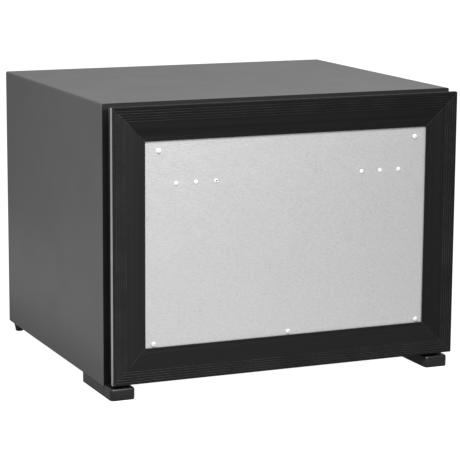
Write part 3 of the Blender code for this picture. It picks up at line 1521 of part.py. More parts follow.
reshape(unit_bracket_upper, across_bay)
cradle_low = VESSEL_Z - LOW_BRACKET_HEIGHT / 2
cradle_high = VESSEL_Z + LOW_BRACKET_HEIGHT / 2
unit_bracket_lower = block(
    "unit_bracket_lower",
    (LOW_BRACKET_X - LOW_BRACKET_LENGTH / 2, strap_front, cradle_low),
    (LOW_BRACKET_X + LOW_BRACKET_LENGTH / 2, strap_front + BRACKET_SHEET, cradle_high),
    "zinc",
)
arm_reach = UNIT_BACK - VESSEL_RADIUS - FIT
for side, sign in (("left", -1), ("right", 1)):
    arm_x = LOW_BRACKET_X + sign * (LOW_BRACKET_LENGTH - BRACKET_SHEET) / 2
    arm = block(
        "cradle_arm_" + side,
        (arm_x - BRACKET_SHEET / 2, strap_front, cradle_low),
        (arm_x + BRACKET_SHEET / 2, UNIT_BACK, cradle_high),
    )
    join(unit_bracket_lower, arm)
vessel_clearance = rods(
    "vessel_clearance",
    [((VESSEL_START_X, UNIT_BACK, VESSEL_Z), (VESSEL_END_X, UNIT_BACK, VESSEL_Z))],
    VESSEL_RADIUS + FIT,
    sides=24,
)
cut(unit_bracket_lower, vessel_clearance)

# Control box with its lid and the mains inlet, beside the cooling unit
box_left = -INSIDE_HALF
box_right = box_left + BOX_WIDTH
box_back = BAY_FRONT + FIT + BOX_DEPTH
box_top = BOX_BOTTOM + BOX_HEIGHT
control_box = block(
    "control_box",
    (box_left, BAY_FRONT + FIT, BOX_BOTTOM),
    (box_right, box_back, box_top),
    "black_plastic",
    along=1,
    radius=0.004,
)
box_hollow = block(
    "box_hollow",
    (box_left + BOX_WALL, BAY_FRONT + FIT + BOX_WALL, BOX_BOTTOM + BOX_WALL),
    (box_right - BOX_WALL, box_back + BOX_WALL, box_top - BOX_WALL),
)
cut(control_box, box_hollow)
control_lid = block(
    "control_lid",
    (box_left, box_back + FIT, BOX_BOTTOM),
    (box_right, box_back + FIT + LID_THICKNESS, box_top),
    "black_plastic",
    along=1,
    radius=0.004,
)
inlet_x = (box_left + box_right) / 2
inlet_z = BOX_BOTTOM + INLET_RISE
lid_back = box_back + FIT + LID_THICKNESS
lid_window = block(
    "lid_window",
    (inlet_x - INLET_WIDTH / 2 - FIT, box_back, inlet_z - INLET_HEIGHT / 2 - FIT),
    (inlet_x + INLET_WIDTH / 2 + FIT, lid_back + FIT, inlet_z + INLET_HEIGHT / 2 + FIT),
)
cut(control_lid, lid_window)
power_inlet = block(
    "power_inlet",
    (inlet_x - INLET_WIDTH / 2, lid_back - INLET_DEPTH, inlet_z - INLET_HEIGHT / 2),
    (inlet_x + INLET_WIDTH / 2, lid_back + FIT, inlet_z + INLET_HEIGHT / 2),
    "black_plastic",
)
inlet_flange = block(
    "inlet_flange",
    (inlet_x - INLET_WIDTH / 2 - INLET_RIM, lid_back + FIT, inlet_z - INLET_HEIGHT / 2 - INLET_RIM),
    (inlet_x + INLET_WIDTH / 2 + INLET_RIM, lid_back + FIT + 0.0025, inlet_z + INLET_HEIGHT / 2 + INLET_RIM),
)
inlet_socket = block(
    "inlet_socket",
    (inlet_x - INLET_WIDTH / 2 + INLET_WALL, lid_back - 0.016, inlet_z - INLET_HEIGHT / 2 + INLET_WALL),
    (inlet_x + INLET_WIDTH / 2 - INLET_WALL, lid_back + 0.010, inlet_z + INLET_HEIGHT / 2 - INLET_WALL),
    along=1,
    radius=0.003,
)
inlet_pins = blocks(
    "inlet_pins",
    [
        (
            (inlet_x + step * 0.007 - 0.001, lid_back - 0.018, inlet_z + rise - 0.002),
            (inlet_x + step * 0.007 + 0.001, lid_back - 0.003, inlet_z + rise + 0.002),
        )
        for step, rise in ((-1, -0.0015), (0, 0.0030), (1, -0.0015))
    ],
)
join(power_inlet, inlet_flange)
cut(power_inlet, inlet_socket)
join(power_inlet, inlet_pins)

# Control pod under the ceiling of the cold space, with a lamp lens below and the thermostat knob in front
pod_front = CASE_FRONT + POD_SETBACK
pod_top = CAVITY_TOP - FIT
pod_low = pod_top - POD_HEIGHT
control_pod = block(
    "control_pod",
    (POD_X - POD_WIDTH / 2, pod_front, pod_low),
    (POD_X + POD_WIDTH / 2, pod_front + POD_DEPTH, pod_top),
    "white_plastic",
)
soften(control_pod, 0.003, 2)
pod_hollow = block(
    "pod_hollow",
    (POD_X - POD_WIDTH / 2 + POD_WALL, pod_front + POD_WALL, pod_low + POD_WALL + LENS_THICKNESS),
    (POD_X + POD_WIDTH / 2 - POD_WALL, pod_front + POD_DEPTH - POD_WALL, pod_top + POD_WALL),
)
cut(control_pod, pod_hollow)
pod_middle = pod_front + POD_DEPTH / 2
lens_window = block(
    "lens_window",
    (LENS_X - LENS_WIDTH / 2 - FIT, pod_middle - LENS_DEPTH / 2 - FIT, pod_low - 0.001),
    (LENS_X + LENS_WIDTH / 2 + FIT, pod_middle + LENS_DEPTH / 2 + FIT, pod_low + 2 * LENS_THICKNESS),
)
cut(control_pod, lens_window)
lamp_lens = block(
    "lamp_lens",
    (LENS_X - LENS_WIDTH / 2, pod_middle - LENS_DEPTH / 2, pod_low),
    (LENS_X + LENS_WIDTH / 2, pod_middle + LENS_DEPTH / 2, pod_low + POD_WALL + LENS_THICKNESS),
    "clear_plastic",
)
knob_z = pod_low + POD_HEIGHT / 2
knob_hole = rods(
    "knob_hole",
    [((KNOB_X, pod_front - 0.001, knob_z), (KNOB_X, pod_front + 2 * POD_WALL, knob_z))],
    KNOB_STEM_RADIUS + FIT,
)
cut(control_pod, knob_hole)
thermostat_knob = turned(
    "thermostat_knob",
    [
        (0.0, KNOB_DEPTH),
        (KNOB_RADIUS - 0.0025, KNOB_DEPTH),
        (KNOB_RADIUS - 0.0012, KNOB_DEPTH - 0.001),
        (KNOB_RADIUS, 0.0),
        (KNOB_STEM_RADIUS, 0.0),
        (KNOB_STEM_RADIUS, -POD_WALL - 0.004),
        (0.0, -POD_WALL - 0.004),
    ],
    24,
    "black_plastic",
)
thermostat_knob.location = (KNOB_X, pod_front - FIT, knob_z)
thermostat_knob.rotation_euler = (math.pi / 2, 0.0, 0.0)
knob_mark = block(
    "knob_mark",
    (KNOB_X - 0.0006, pod_front - KNOB_DEPTH - 0.002, knob_z + KNOB_RADIUS * 0.30),
    (KNOB_X + 0.0006, pod_front - KNOB_DEPTH + 0.0004, knob_z + KNOB_RADIUS * 1.10),
)
cut(thermostat_knob, knob_mark)

# What slides with the drawer hangs on an empty on the slide's line; the telescopic sections have their own
bpy.context.view_layer.update()


def carried_by(name, location, children):
    carrier = bpy.data.objects.new(name, None)
    parts.objects.link(carrier)
    carrier.location = location
    carrier.empty_display_size = 0.03
    bpy.context.view_layer.update()
    for child_name in children:
        child = bpy.data.objects[child_name]
        child.parent = carrier
        child.matrix_parent_inverse = carrier.matrix_world.inverted()


drawer_pieces = [
    "frame_top",
    "frame_bottom",
    "frame_left",
    "frame_right",
    "front_sheet",
    "front_foam",
    "front_inner_panel",
    "gasket",
    "panel_plate_left",
    "panel_plate_right",
    "drawer_bin",
    "divider_left",
    "divider_right",
    "bottle_rail",
    "runner_inner_left",
    "runner_inner_right",
]
drawer_pieces += ["sheet_screw_%d" % number for number in range(1, 6)]
carried_by("drawer_slide", (0.0, CASE_FRONT, RUNNER_Z), drawer_pieces)
for side, sign in (("left", -1), ("right", 1)):
    line = (sign * RUNNER_FACE, CASE_FRONT, RUNNER_Z)
    carried_by("middle_slide_" + side, line, ["runner_middle_" + side])
    carried_by("outer_cage_slide_" + side, line, ["cage_outer_" + side])
    carried_by("inner_cage_slide_" + side, line, ["cage_inner_" + side])
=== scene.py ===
import math

import bmesh
import bpy
from mathutils import Matrix, Vector


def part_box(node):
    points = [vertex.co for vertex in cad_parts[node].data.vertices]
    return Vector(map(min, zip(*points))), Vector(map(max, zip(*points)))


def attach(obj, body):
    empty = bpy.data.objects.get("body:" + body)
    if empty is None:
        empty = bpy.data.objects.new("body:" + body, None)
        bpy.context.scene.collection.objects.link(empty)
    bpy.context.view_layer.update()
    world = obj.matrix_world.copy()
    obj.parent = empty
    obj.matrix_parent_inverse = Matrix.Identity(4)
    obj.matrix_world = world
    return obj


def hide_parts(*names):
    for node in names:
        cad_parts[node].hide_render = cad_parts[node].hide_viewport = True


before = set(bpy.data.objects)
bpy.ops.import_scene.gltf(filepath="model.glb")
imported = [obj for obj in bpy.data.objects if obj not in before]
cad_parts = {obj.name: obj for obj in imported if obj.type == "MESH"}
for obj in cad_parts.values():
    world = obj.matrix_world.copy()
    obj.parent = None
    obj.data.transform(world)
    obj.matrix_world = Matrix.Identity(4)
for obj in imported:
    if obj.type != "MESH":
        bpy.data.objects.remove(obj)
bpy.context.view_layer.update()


# Outer case: one 1 mm steel sheet folded over the top and down both sides, with narrow flanges turned in at
# the front, the back and underneath. It is powder coated satin black, with the coat's faint orange peel. The
# front flange, where the gasket closes, is near black and matt as painted shade, for the shadow the drawer
# front casts on it, but for the few mm along its top edge, which are lighter as painted light from above.
class Finish:
    """The finish of one surface, built up in layers that lie in the piece's own coordinates, in metres."""

    def __init__(self, name, roughness, metallic=0.0, shine=0.5, **constants):
        self.material = bpy.data.materials.new(name)
        self.material.use_nodes = True
        self.tree = self.material.node_tree
        self.shader = self.tree.nodes["Principled BSDF"]
        self.shader.inputs["Roughness"].default_value = roughness
        self.shader.inputs["Metallic"].default_value = metallic
        self.shader.inputs["Specular IOR Level"].default_value = shine
        for socket, value in constants.items():
            self.shader.inputs[socket.replace("_", " ")].default_value = value
        self.place = self.tree.nodes.new("ShaderNodeTexCoord").outputs["Object"]
        self.relief = None

    def node(self, kind, feeds, **settings):
        return wired(self.tree, kind, feeds, **settings)

    def laid_out(self, size):
        """The piece's coordinates, with the pattern's size, or its sizes on X, Y and Z, as the unit."""
        sizes = size if hasattr(size, "__len__") else (size, size, size)
        feeds = {"Vector": self.place, "Scale": [1.0 / length for length in sizes]}
        return self.node("ShaderNodeMapping", feeds).outputs["Vector"]

    def ranged(self, pattern, low, high, start=0.35, end=0.65):
        feeds = {"Value": pattern, "From Min": start, "From Max": end, "To Min": low, "To Max": high}
        return self.node("ShaderNodeMapRange", feeds).outputs["Result"]

    def coloured(self, pattern, dark, light, start=0.35, end=0.65):
        ramp = self.node("ShaderNodeValToRGB", {"Fac": pattern(self)})
        for stop, place, colour in zip(ramp.color_ramp.elements, (start, end), (dark, light)):
            stop.position = place
            stop.color = opaque(colour)
        self.tree.links.new(ramp.outputs["Color"], self.shader.inputs["Base Color"])

    def flecked(self, pattern, colour, start, end, share=1.0):
        """Lays another colour over the first where a pattern runs from start to end."""
        base = self.shader.inputs["Base Color"]
        amount = self.ranged(pattern(self), 0.0, share, start, end)
        feeds = {0: amount, 6: base.links[0].from_socket, 7: opaque(colour)}
        self.tree.links.new(self.node("ShaderNodeMix", feeds, data_type="RGBA").outputs[2], base)

    def glossed(self, pattern, low, high, start=0.35, end=0.65):
        gloss = self.ranged(pattern(self), low, high, start, end)
        self.tree.links.new(gloss, self.shader.inputs["Roughness"])

    def raised(self, pattern, height):
        feeds = {"Height": pattern(self), "Distance": height, "Strength": 1.0}
        if self.relief is not None:
            feeds["Normal"] = self.relief
        self.relief = self.node("ShaderNodeBump", feeds).outputs["Normal"]
        self.tree.links.new(self.relief, self.shader.inputs["Normal"])


def wired(tree, kind, feeds, **settings):
    """A node in a tree, with its inputs given values or fed from other nodes."""
    made = tree.nodes.new(kind)
    for name, value in settings.items():
        setattr(made, name, value)
    for socket, value in feeds.items():
        if isinstance(value, bpy.types.NodeSocket):
            tree.links.new(value, made.inputs[socket])
        else:
            made.inputs[socket].default_value = value
    return made


def opaque(colour):
    """A colour from its three parts, or a grey from one."""
    return (*colour, 1.0) if hasattr(colour, "__len__") else (colour, colour, colour, 1.0)


def clouds(size, detail=2.0, fineness=0.5):
    """Soft noise in a finish, as large as the size."""
    def pattern(finish):
        feeds = {"Vector": finish.laid_out(size), "Scale": 1.0, "Detail": detail, "Roughness": fineness}
        return finish.node("ShaderNodeTexNoise", feeds).outputs["Fac"]
    return pattern


def cells(size, feature="F1", output="Distance"):
    """Cells in a finish, as large as the size."""
    def pattern(finish):
        feeds = {"Vector": finish.laid_out(size), "Scale": 1.0}
        return finish.node("ShaderNodeTexVoronoi", feeds, feature=feature).outputs[output]
    return pattern


def coordinate(axis):
    """A finish's own coordinate on one axis."""
    return lambda finish: finish.node("ShaderNodeSeparateXYZ", {"Vector": finish.place}).outputs[axis]


def finished(name, bm, finish, crease=38.0):
    """A piece from its mesh in the making: smooth but for its creases, in its finish."""
    bmesh.ops.recalc_face_normals(bm, faces=bm.faces)
    mesh = bpy.data.meshes.new(name)
    bm.to_mesh(mesh)
    bm.free()
    mesh.shade_smooth()
    mesh.set_sharp_from_angle(angle=math.radians(crease))
    mesh.materials.append(finish.material)
    piece = bpy.data.objects.new(name, mesh)
    bpy.context.scene.collection.objects.link(piece)
    return piece


def eased(piece, width, steps=2, crease=40.0):
    """Takes the sharpness off a piece's edges."""
    bevel = piece.modifiers.new("eased_edges", "BEVEL")
    bevel.width = width
    bevel.segments = steps
    bevel.limit_method = "ANGLE"
    bevel.angle_limit = math.radians(crease)
    bevel.use_clamp_overlap = False
    bevel.harden_normals = True
    return piece


def carried_over(node, name, finish, crease=38.0):
    """A piece in the shape of a frame solid, with its flat faces made whole."""
    bm = bmesh.new()
    bm.from_mesh(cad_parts[node].data)
    bmesh.ops.remove_doubles(bm, verts=bm.verts, dist=0.000002)
    bmesh.ops.dissolve_limit(bm, angle_limit=math.radians(0.4), verts=bm.verts, edges=bm.edges)
    return finished(name, bm, finish, crease)


def fitted(piece, body, slot, *stood_for):
    """Hangs a piece on its body and hides the frame solids that it stands for. The slot is not used."""
    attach(piece, body)
    if stood_for:
        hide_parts(*stood_for)
    return piece


def shaped(node, form, bm, finish, body, slot, crease=38.0):
    """A piece that stands for one frame solid, finished and hung on its body."""
    return fitted(finished("%s_%s" % (node, form), bm, finish, crease), body, slot, node)


case_paint = Finish("case_paint", 0.40, shine=0.56)
case_paint.coloured(clouds(0.20, 4.0), (0.0255, 0.0255, 0.026), (0.0285, 0.0285, 0.029))
case_paint.flecked(clouds(0.0016), 0.060, 0.64, 0.78, 0.4)
case_paint.glossed(clouds(0.08, 5.0), 0.39, 0.42)
case_paint.raised(clouds(0.0022), 0.00003)
case_paint.raised(clouds(0.14, 1.0), 0.00012)
# Near-black matt finish of the front flange: painted shade, for the drawer front's shadow.
shaded_flange = Finish("flange_painted_shade", 0.7, shine=0.08)
shaded_flange.coloured(clouds(0.05, 4.0), 0.0028, 0.0040)
shaded_flange.glossed(clouds(0.02, 4.0), 0.62, 0.78)
shaded_flange.raised(clouds(0.0018), 0.00003)
# Lighter band along the flange's top edge: painted light falling into the gap from above.
LIT_TOP_BAND = (0.431, 0.437)
shaded_flange.flecked(coordinate("Z"), (0.012, 0.012, 0.0125), *LIT_TOP_BAND)
FLANGE_LEVEL = -0.2194
outer_case = carried_over("outer_case", "outer_case_sheet", case_paint)
outer_case.data.materials.append(shaded_flange.material)
for face in outer_case.data.polygons:
    if face.center.y < FLANGE_LEVEL and abs(face.normal.y) > 0.9:
        face.material_index = 1
eased(outer_case, 0.0003)
fitted(outer_case, "cabinet", "black_paint", "outer_case")


# Base plate: a galvanised steel sheet that closes the case underneath, with its front edge turned up and a
# row of pressed slots below the cooling unit, where air comes in. The zinc shows its spangle.
def galvanised(name, spangle):
    """Hot-dip zinc on sheet steel, with crystals of about the given size."""
    made = Finish(name, 0.34, 0.95)
    made.coloured(cells(spangle, output="Color"), (0.44, 0.45, 0.46), (0.64, 0.65, 0.66), 0.2, 0.8)
    made.flecked(clouds(0.03, 5.0), (0.36, 0.36, 0.35), 0.55, 0.72, 0.5)
    made.glossed(cells(spangle, output="Color"), 0.26, 0.46, 0.2, 0.8)
    made.raised(cells(spangle, "SMOOTH_F1"), 0.00003)
    made.raised(clouds((0.0006, 0.02, 0.02)), 0.00001)
    return made


spangled_zinc = galvanised("spangled_zinc", 0.007)
fitted(eased(carried_over("base_plate", "base_plate_sheet", spangled_zinc), 0.0002), "cabinet", "zinc",
       "base_plate")


# Inner liner: a white plastic tub, drawn down from one sheet over a mould, so its corners are well rounded
# and its flange lies flat behind the case's front edge. The evaporator's aperture is cut in its back.
LINER_LOW = (-0.2540, 0.0485)
LINER_HIGH = (0.2540, 0.4095)
LINER_BACK = 0.0805
LINER_FACE = -0.2182
LINER_SHEET = 0.0015
LINER_ROUND = 0.012


def loft(bm, rings, joined=False):
    """Skins rings of as many points each; it closes the two ends, or joins them where the rings go round."""
    made = [[bm.verts.new(point) for point in ring] for ring in rings]
    pairs = list(zip(made, made[1:]))
    if joined:
        pairs.append((made[-1], made[0]))
    else:
        bm.faces.new(made[0])
        bm.faces.new(made[-1])
    for near, far in pairs:
        for i in range(len(near)):
            j = (i + 1) % len(near)
            bm.faces.new((near[i], near[j], far[j], far[i]))


def lofted(rings, joined=False):
    """A mesh in the making that holds one loft."""
    bm = bmesh.new()
    loft(bm, rings, joined)
    return bm


def round_cornered(low, high, radius, steps=6):
    """Points round a rectangle with round corners."""
    points = []
    signs = ((1, 1), (-1, 1), (-1, -1), (1, -1))
    middle = [(a + b) / 2 for a, b in zip(low, high)]
    reach = [(b - a) / 2 - radius for a, b in zip(low, high)]
    for quarter, (across, up) in enumerate(signs):
        for i in range(steps + 1):
            angle = math.radians(90 * quarter + 90 * i / steps)
            x = middle[0] + across * reach[0] + radius * math.cos(angle)
            y = middle[1] + up * reach[1] + radius * math.sin(angle)
            points.append((x, y))
    return points


def levels(low, high, radius, sections, lying=False, steps=6):
    """Round-cornered rings from (inset, height) pairs, which stand on Z, or lie along Y."""
    rings = []
    for inset, height in sections:
        inner_low = [a + inset for a in low]
        inner_high = [a - inset for a in high]
        points = round_cornered(inner_low, inner_high, max(radius - inset, 0.0003), steps)
        rings.append([(a, height, b) if lying else (a, b, height) for a, b in points])
    return rings


def above(base, pairs):
    """(inset, height) pairs from pairs that count their height from a base."""
    return [(inset, base + height) for inset, height in pairs]


def quarter_round(inset, height, radius, steps=5, up=True, outward=True):
    """(inset, height) pairs down a rounded edge that starts flat and ends upright."""
    pairs = []
    for i in range(steps + 1):
        angle = math.radians(90 * i / steps)
        across = radius * (1.0 - math.sin(angle)) if outward else -radius * (1.0 - math.sin(angle))
        rise = radius * (1.0 - math.cos(angle))
        pairs.append((inset + across, height + rise if up else height - rise))
    return pairs


def brick(bm, low, high, ease=0.0, steps=2):
    """A block between two corners with its edges eased."""
    size = Vector(high) - Vector(low)
    place = Matrix.Translation((Vector(low) + Vector(high)) / 2) @ Matrix.Diagonal((*size, 1.0))
    made = bmesh.ops.create_cube(bm, size=1.0, matrix=place)["verts"]
    if ease:
        edges = list({edge for vert in made for edge in vert.link_edges})
        bmesh.ops.bevel(bm, geom=edges, offset=ease, segments=steps, profile=0.5, affect="EDGES")


def bricked(low, high, ease=0.0):
    """A mesh in the making that holds one block."""
    bm = bmesh.new()
    brick(bm, low, high, ease)
    return bm


def turned(profile, place, steps=32):
    """Rings turned round an axis from (radius, height) pairs, stood in place."""
    rings = []
    for radius, height in profile:
        angles = [2 * math.pi * i / steps for i in range(steps)]
        rings.append([place @ Vector((radius * math.cos(a), radius * math.sin(a), height)) for a in angles])
    return rings


def rod(radius, low, high, place, steps=32):
    """Rings of a plain round bar, which can also cut a round hole."""
    return turned([(radius, low), (radius, high)], place, steps)


def stood(point, axis=(0, 0, 1)):
    """The place of something that stands at a point along an axis."""
    turn = Vector((0, 0, 1)).rotation_difference(Vector(axis)).to_matrix().to_4x4()
    return Matrix.Translation(point) @ turn


def cut_out(piece, cutter, crease=38.0):
    """Cuts a cutter's volume out of a piece."""
    tool = finished("cutter", cutter, case_paint)
    step = piece.modifiers.new("cut", "BOOLEAN")
    step.object = tool
    step.solver = "EXACT"
    graph = bpy.context.evaluated_depsgraph_get()
    shaped = bpy.data.meshes.new_from_object(piece.evaluated_get(graph))
    piece.modifiers.clear()
    piece.data = shaped
    shaped.shade_smooth()
    shaped.set_sharp_from_angle(angle=math.radians(crease))
    bpy.data.objects.remove(tool)
    return piece


white_plastic = Finish("vacuum_formed_white", 0.34, shine=0.45, Subsurface_Weight=0.06,
                       Subsurface_Radius=(0.004, 0.004, 0.004))
white_plastic.coloured(clouds(0.12, 4.0), (0.76, 0.775, 0.775), (0.82, 0.83, 0.825))
white_plastic.glossed(clouds(0.04, 4.0), 0.28, 0.42)
white_plastic.raised(clouds(0.0014), 0.00003)
white_plastic.raised(clouds(0.06, 1.0), 0.0004)
corner = quarter_round(0.0, LINER_BACK, LINER_ROUND, up=False)
outside = [(inset - LINER_SHEET, height + LINER_SHEET) for inset, height in corner]
inside = list(reversed(corner))
mouth = above(LINER_FACE, [(-LINER_SHEET, LINER_SHEET), (-0.0238, LINER_SHEET), (-0.0240, 0.0007),
                           (-0.0236, 0.0), (-0.0020, 0.0), (-0.0006, 0.0006), (0.0, 0.0020)])
tub = lofted(levels(LINER_LOW, LINER_HIGH, LINER_ROUND, outside + mouth + inside, lying=True))
liner_shell = finished("inner_liner_tub", tub, white_plastic)
PLUG_LOW = (-0.150, 0.300)
PLUG_HIGH = (0.150, 0.400)
FIT = 0.0003
aperture = bricked((PLUG_LOW[0] - FIT, 0.07, PLUG_LOW[1] - FIT),
                   (PLUG_HIGH[0] + FIT, 0.09, PLUG_HIGH[1] + FIT))
cut_out(liner_shell, aperture)
DRAIN = (0.0, 0.2830)
cut_out(liner_shell, lofted(rod(0.0045, -0.01, 0.01, stood((DRAIN[0], LINER_BACK, DRAIN[1]), (0, 1, 0)))))
fitted(liner_shell, "cabinet", "white_plastic", "inner_liner")


# Cabinet insulation: rigid polyurethane foam, poured between the liner and the case, where it set with a
# cream skin and fine closed cells. Only its edges show, behind the unit.
def poured_foam(name):
    made = Finish(name, 0.85, shine=0.25, Subsurface_Weight=0.1, Subsurface_Radius=(0.004, 0.003, 0.002))
    made.coloured(clouds(0.03, 5.0), (0.62, 0.50, 0.25), (0.80, 0.68, 0.40))
    made.flecked(cells(0.0016), (0.50, 0.38, 0.17), 0.55, 0.95, 0.6)
    made.glossed(clouds(0.01, 3.0), 0.75, 0.95)
    made.raised(cells(0.0014, "SMOOTH_F1"), 0.00035)
    made.raised(clouds(0.02, 3.0), 0.0012)
    return made


cream_foam = poured_foam("cream_foam")
fitted(eased(carried_over("cabinet_foam", "cabinet_insulation", cream_foam), 0.0004), "cabinet", "foam",
       "cabinet_foam")


# Rear plate: the galvanised sheet behind the insulation. It was the back of the foaming mould, and the
# cooling unit is screwed to it.
rear_zinc = galvanised("rear_zinc", 0.009)
fitted(eased(carried_over("rear_plate", "rear_plate_sheet", rear_zinc), 0.0002), "cabinet", "zinc",
       "rear_plate")


# Front feet: two long blocks from the same mould, glass-filled black nylon, screwed up into the case's bottom
# flange. Both stand the same way round, so the right one sits further in. They are hollow underneath, and the
# toe stands a little higher, in front of the case.
def moulded(name, dark, light, grain=0.0009, gloss=(0.42, 0.56)):
    """Injection moulded plastic with a spark-eroded grain and a faint flow."""
    made = Finish(name, 0.5)
    made.coloured(clouds((0.05, 0.02, 0.02), 4.0), dark, light)
    made.glossed(clouds(0.012, 4.0), *gloss)
    made.raised(clouds(grain, 3.0), 0.00006)
    made.raised(clouds(0.03, 1.0), 0.0002)
    return made


foot_nylon = moulded("foot_nylon", 0.0008, 0.0022, gloss=(0.46, 0.54))
FOOT_PROFILE = [(0.0006, 0.0), (0.0002, 0.0002), (0.0, 0.0007), (0.0, 0.0150), (0.0004, 0.0164),
                (0.0013, 0.0175), (0.0026, 0.0180)]
TOE_END = -0.2198
CASE_SEAT = 0.0152
for side in ("left", "right"):
    low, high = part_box("front_foot_" + side)
    front_foot = finished("front_foot_%s_block" % side,
                          lofted(levels(low[:2], high[:2], 0.006, FOOT_PROFILE, steps=8)), foot_nylon)
    cut_out(front_foot, bricked((low.x - 0.01, TOE_END, CASE_SEAT), (high.x + 0.01, high.y + 0.01, 0.03)))
    for bay in range(3):
        pocket = bmesh.new()
        start = low.y + 0.007 + bay * 0.0385
        pocket_low = (low.x + 0.007, start)
        pocket_high = (high.x - 0.007, start + 0.0355)
        loft(pocket, levels(pocket_low, pocket_high, 0.004, [(0.0, -0.001), (0.0006, 0.0105)]))
        cut_out(front_foot, pocket)
    fitted(front_foot, "cabinet", "black_plastic", "front_foot_" + side)


# Rear feet: small tapered pads of the same nylon, pushed into holes in the case's bottom flange, with a ring
# moulded round the sole.
for side in ("left", "right"):
    low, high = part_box("rear_foot_" + side)
    middle = (low + high) / 2
    top = high.z
    profile = [(0.0050, 0.0), (0.0056, 0.0002), (0.0064, 0.0009), (0.0067, 0.0022), (0.0071, 0.0052),
               (0.0068, 0.0056), (0.0073, 0.0061), (0.0090, top - 0.0018), (0.0094, top - 0.0008),
               (0.0093, top - 0.0002), (0.0089, top)]
    fitted(finished("rear_foot_%s_pad" % side, lofted(turned(profile, stood((middle.x, middle.y, 0.0)), 40)),
                    foot_nylon), "cabinet", "black_plastic", "rear_foot_" + side)


# Drawer front frame: four lengths of one black anodised aluminium profile, sawn at 45 degrees and pressed
# on corner keys. Five fine grooves run along it, then a slope down to the lip that holds the sheet. Each
# length has its own tone as painted light and shade: the left stile lightest, the top rail darkest.
# The stiles' outer edges carry a painted highlight and the rails' outer edges painted shade; the crests
# between the grooves carry a painted highlight, dimmer on the top rail.
FACE = -0.2525
FRONT_LOW = (-0.2867, 0.0229)
FRONT_HIGH = (0.2867, 0.4399)
PROFILE_FACE = [(0.0, 0.0006, 0.0002), (0.0006, 0.0, 0.0002)]
for i in range(5):
    start = 0.0045 + i * 0.0038
    PROFILE_FACE += [(start, 0.0, 0.0004), (start + 0.0004, 0.0007, 0.00015),
                     (start + 0.0012, 0.0007, 0.00015), (start + 0.0016, 0.0, 0.0004)]
PROFILE_FACE += [(0.0245, 0.0, 0.0012), (0.0450, 0.0028, 0.0006)]
for i in range(2):
    start = 0.0460 + i * 0.0024
    PROFILE_FACE += [(start, 0.0028, 0.0), (start + 0.0005, 0.0032, 0.0001), (start + 0.0010, 0.0028, 0.0)]
PROFILE_BACK = [(0.0526, 0.0028, 0.0004), (0.0526, 0.0044, 0.0003), (0.0443, 0.0044, 0.0),
                (0.0443, 0.0056, 0.0), (0.0706, 0.0059, 0.0003), (0.0706, 0.0079, 0.0003),
                (0.0423, 0.0079, 0.0003), (0.0423, 0.0052, 0.0), (0.0245, 0.0024, 0.0),
                (0.0070, 0.0024, 0.0), (0.0070, 0.0220, 0.0), (0.0170, 0.0220, 0.0002),
                (0.0170, 0.0240, 0.0003), (0.0050, 0.0240, 0.0004), (0.0050, 0.0024, 0.0003),
                (0.0020, 0.0024, 0.0003), (0.0020, 0.0090, 0.0004), (0.0, 0.0090, 0.0004)]
ROUNDING = 4
MITRE_GAP = 0.0003
SAW_EDGE = 0.00025


def rounded(corners, steps=ROUNDING):
    """A closed outline through (x, y, radius) corners, each rounded to its radius."""
    points = []
    for i, (x, y, radius) in enumerate(corners):
        here = Vector((x, y))
        back = Vector(corners[i - 1][:2]) - here
        on = Vector(corners[(i + 1) % len(corners)][:2]) - here
        if radius <= 0.0:
            points.append(tuple(here))
            continue
        reach = min(radius, 0.45 * back.length, 0.45 * on.length)
        start = here + back.normalized() * reach
        stop = here + on.normalized() * reach
        for step in range(steps + 1):
            t = step / steps
            points.append(tuple(start * (1 - t) ** 2 + here * 2 * t * (1 - t) + stop * t * t))
    return points


def drawn_black(name, along, dark, light):
    """Black anodised aluminium with the fine lines that the die leaves along the profile."""
    line = [0.00035, 0.00035, 0.00035]
    line["XYZ".index(along)] = 0.6
    band = [0.004, 0.004, 0.004]
    band["XYZ".index(along)] = 0.9
    made = Finish(name, 0.32, shine=0.13)
    made.coloured(clouds(band, 3.0), dark, light)
    made.flecked(clouds(line), (0.018, 0.018, 0.019), 0.58, 0.75, 0.4)
    made.glossed(clouds(line, 3.0), 0.28, 0.38)
    made.raised(clouds(line), 0.00002)
    made.raised(clouds(0.0012), 0.000015)
    return made


def profile_edge(name, roughness, dark, light, gloss, size=0.030, **constants):
    """The look of the profile's outer edges, or of the crests between its grooves."""
    made = Finish(name, roughness, **constants)
    made.coloured(clouds(size, 4.0), dark, light)
    made.glossed(clouds(0.010, 3.0), *gloss)
    made.raised(clouds(0.0008), 0.00001)
    return made


profile_outline = rounded(PROFILE_FACE + PROFILE_BACK)
# Lighter metallic outer edge of the stiles: a painted highlight of the light from the left.
painted_highlight_edge = profile_edge("painted_highlight_edge", 0.37, (0.34, 0.34, 0.345), (0.38, 0.38, 0.385), (0.34, 0.40),
                           0.020, metallic=0.85)
# Near-black rough outer edge of the rails: painted shade that keeps their edges dark.
painted_shade_edge = profile_edge("painted_shade_edge", 0.6, (0.0050, 0.0050, 0.0052), (0.0080, 0.0080, 0.0083), (0.52, 0.66),
                         shine=0.10)
# Lighter crests between the grooves: a painted highlight, dimmer on the top rail.
painted_highlight_crest = profile_edge("painted_highlight_crest", 0.30, 0.007, 0.018, (0.26, 0.36), shine=0.36)
dim_highlight_crest = profile_edge("dim_highlight_crest", 0.30, 0.005, 0.010, (0.26, 0.36), shine=0.20)
sawn_aluminium = Finish("sawn_aluminium", 0.45, 0.6)
sawn_aluminium.coloured(clouds(0.0050, 3.0), 0.010, (0.085, 0.085, 0.087))
sawn_aluminium.glossed(clouds(0.0006), 0.35, 0.6)
sawn_aluminium.raised(clouds(0.0005), 0.00003)
FIRST_RIB_CORNER = 2
LAST_RIB_CORNER = 21
SAWN, EDGE, CREST = 1, 2, 3
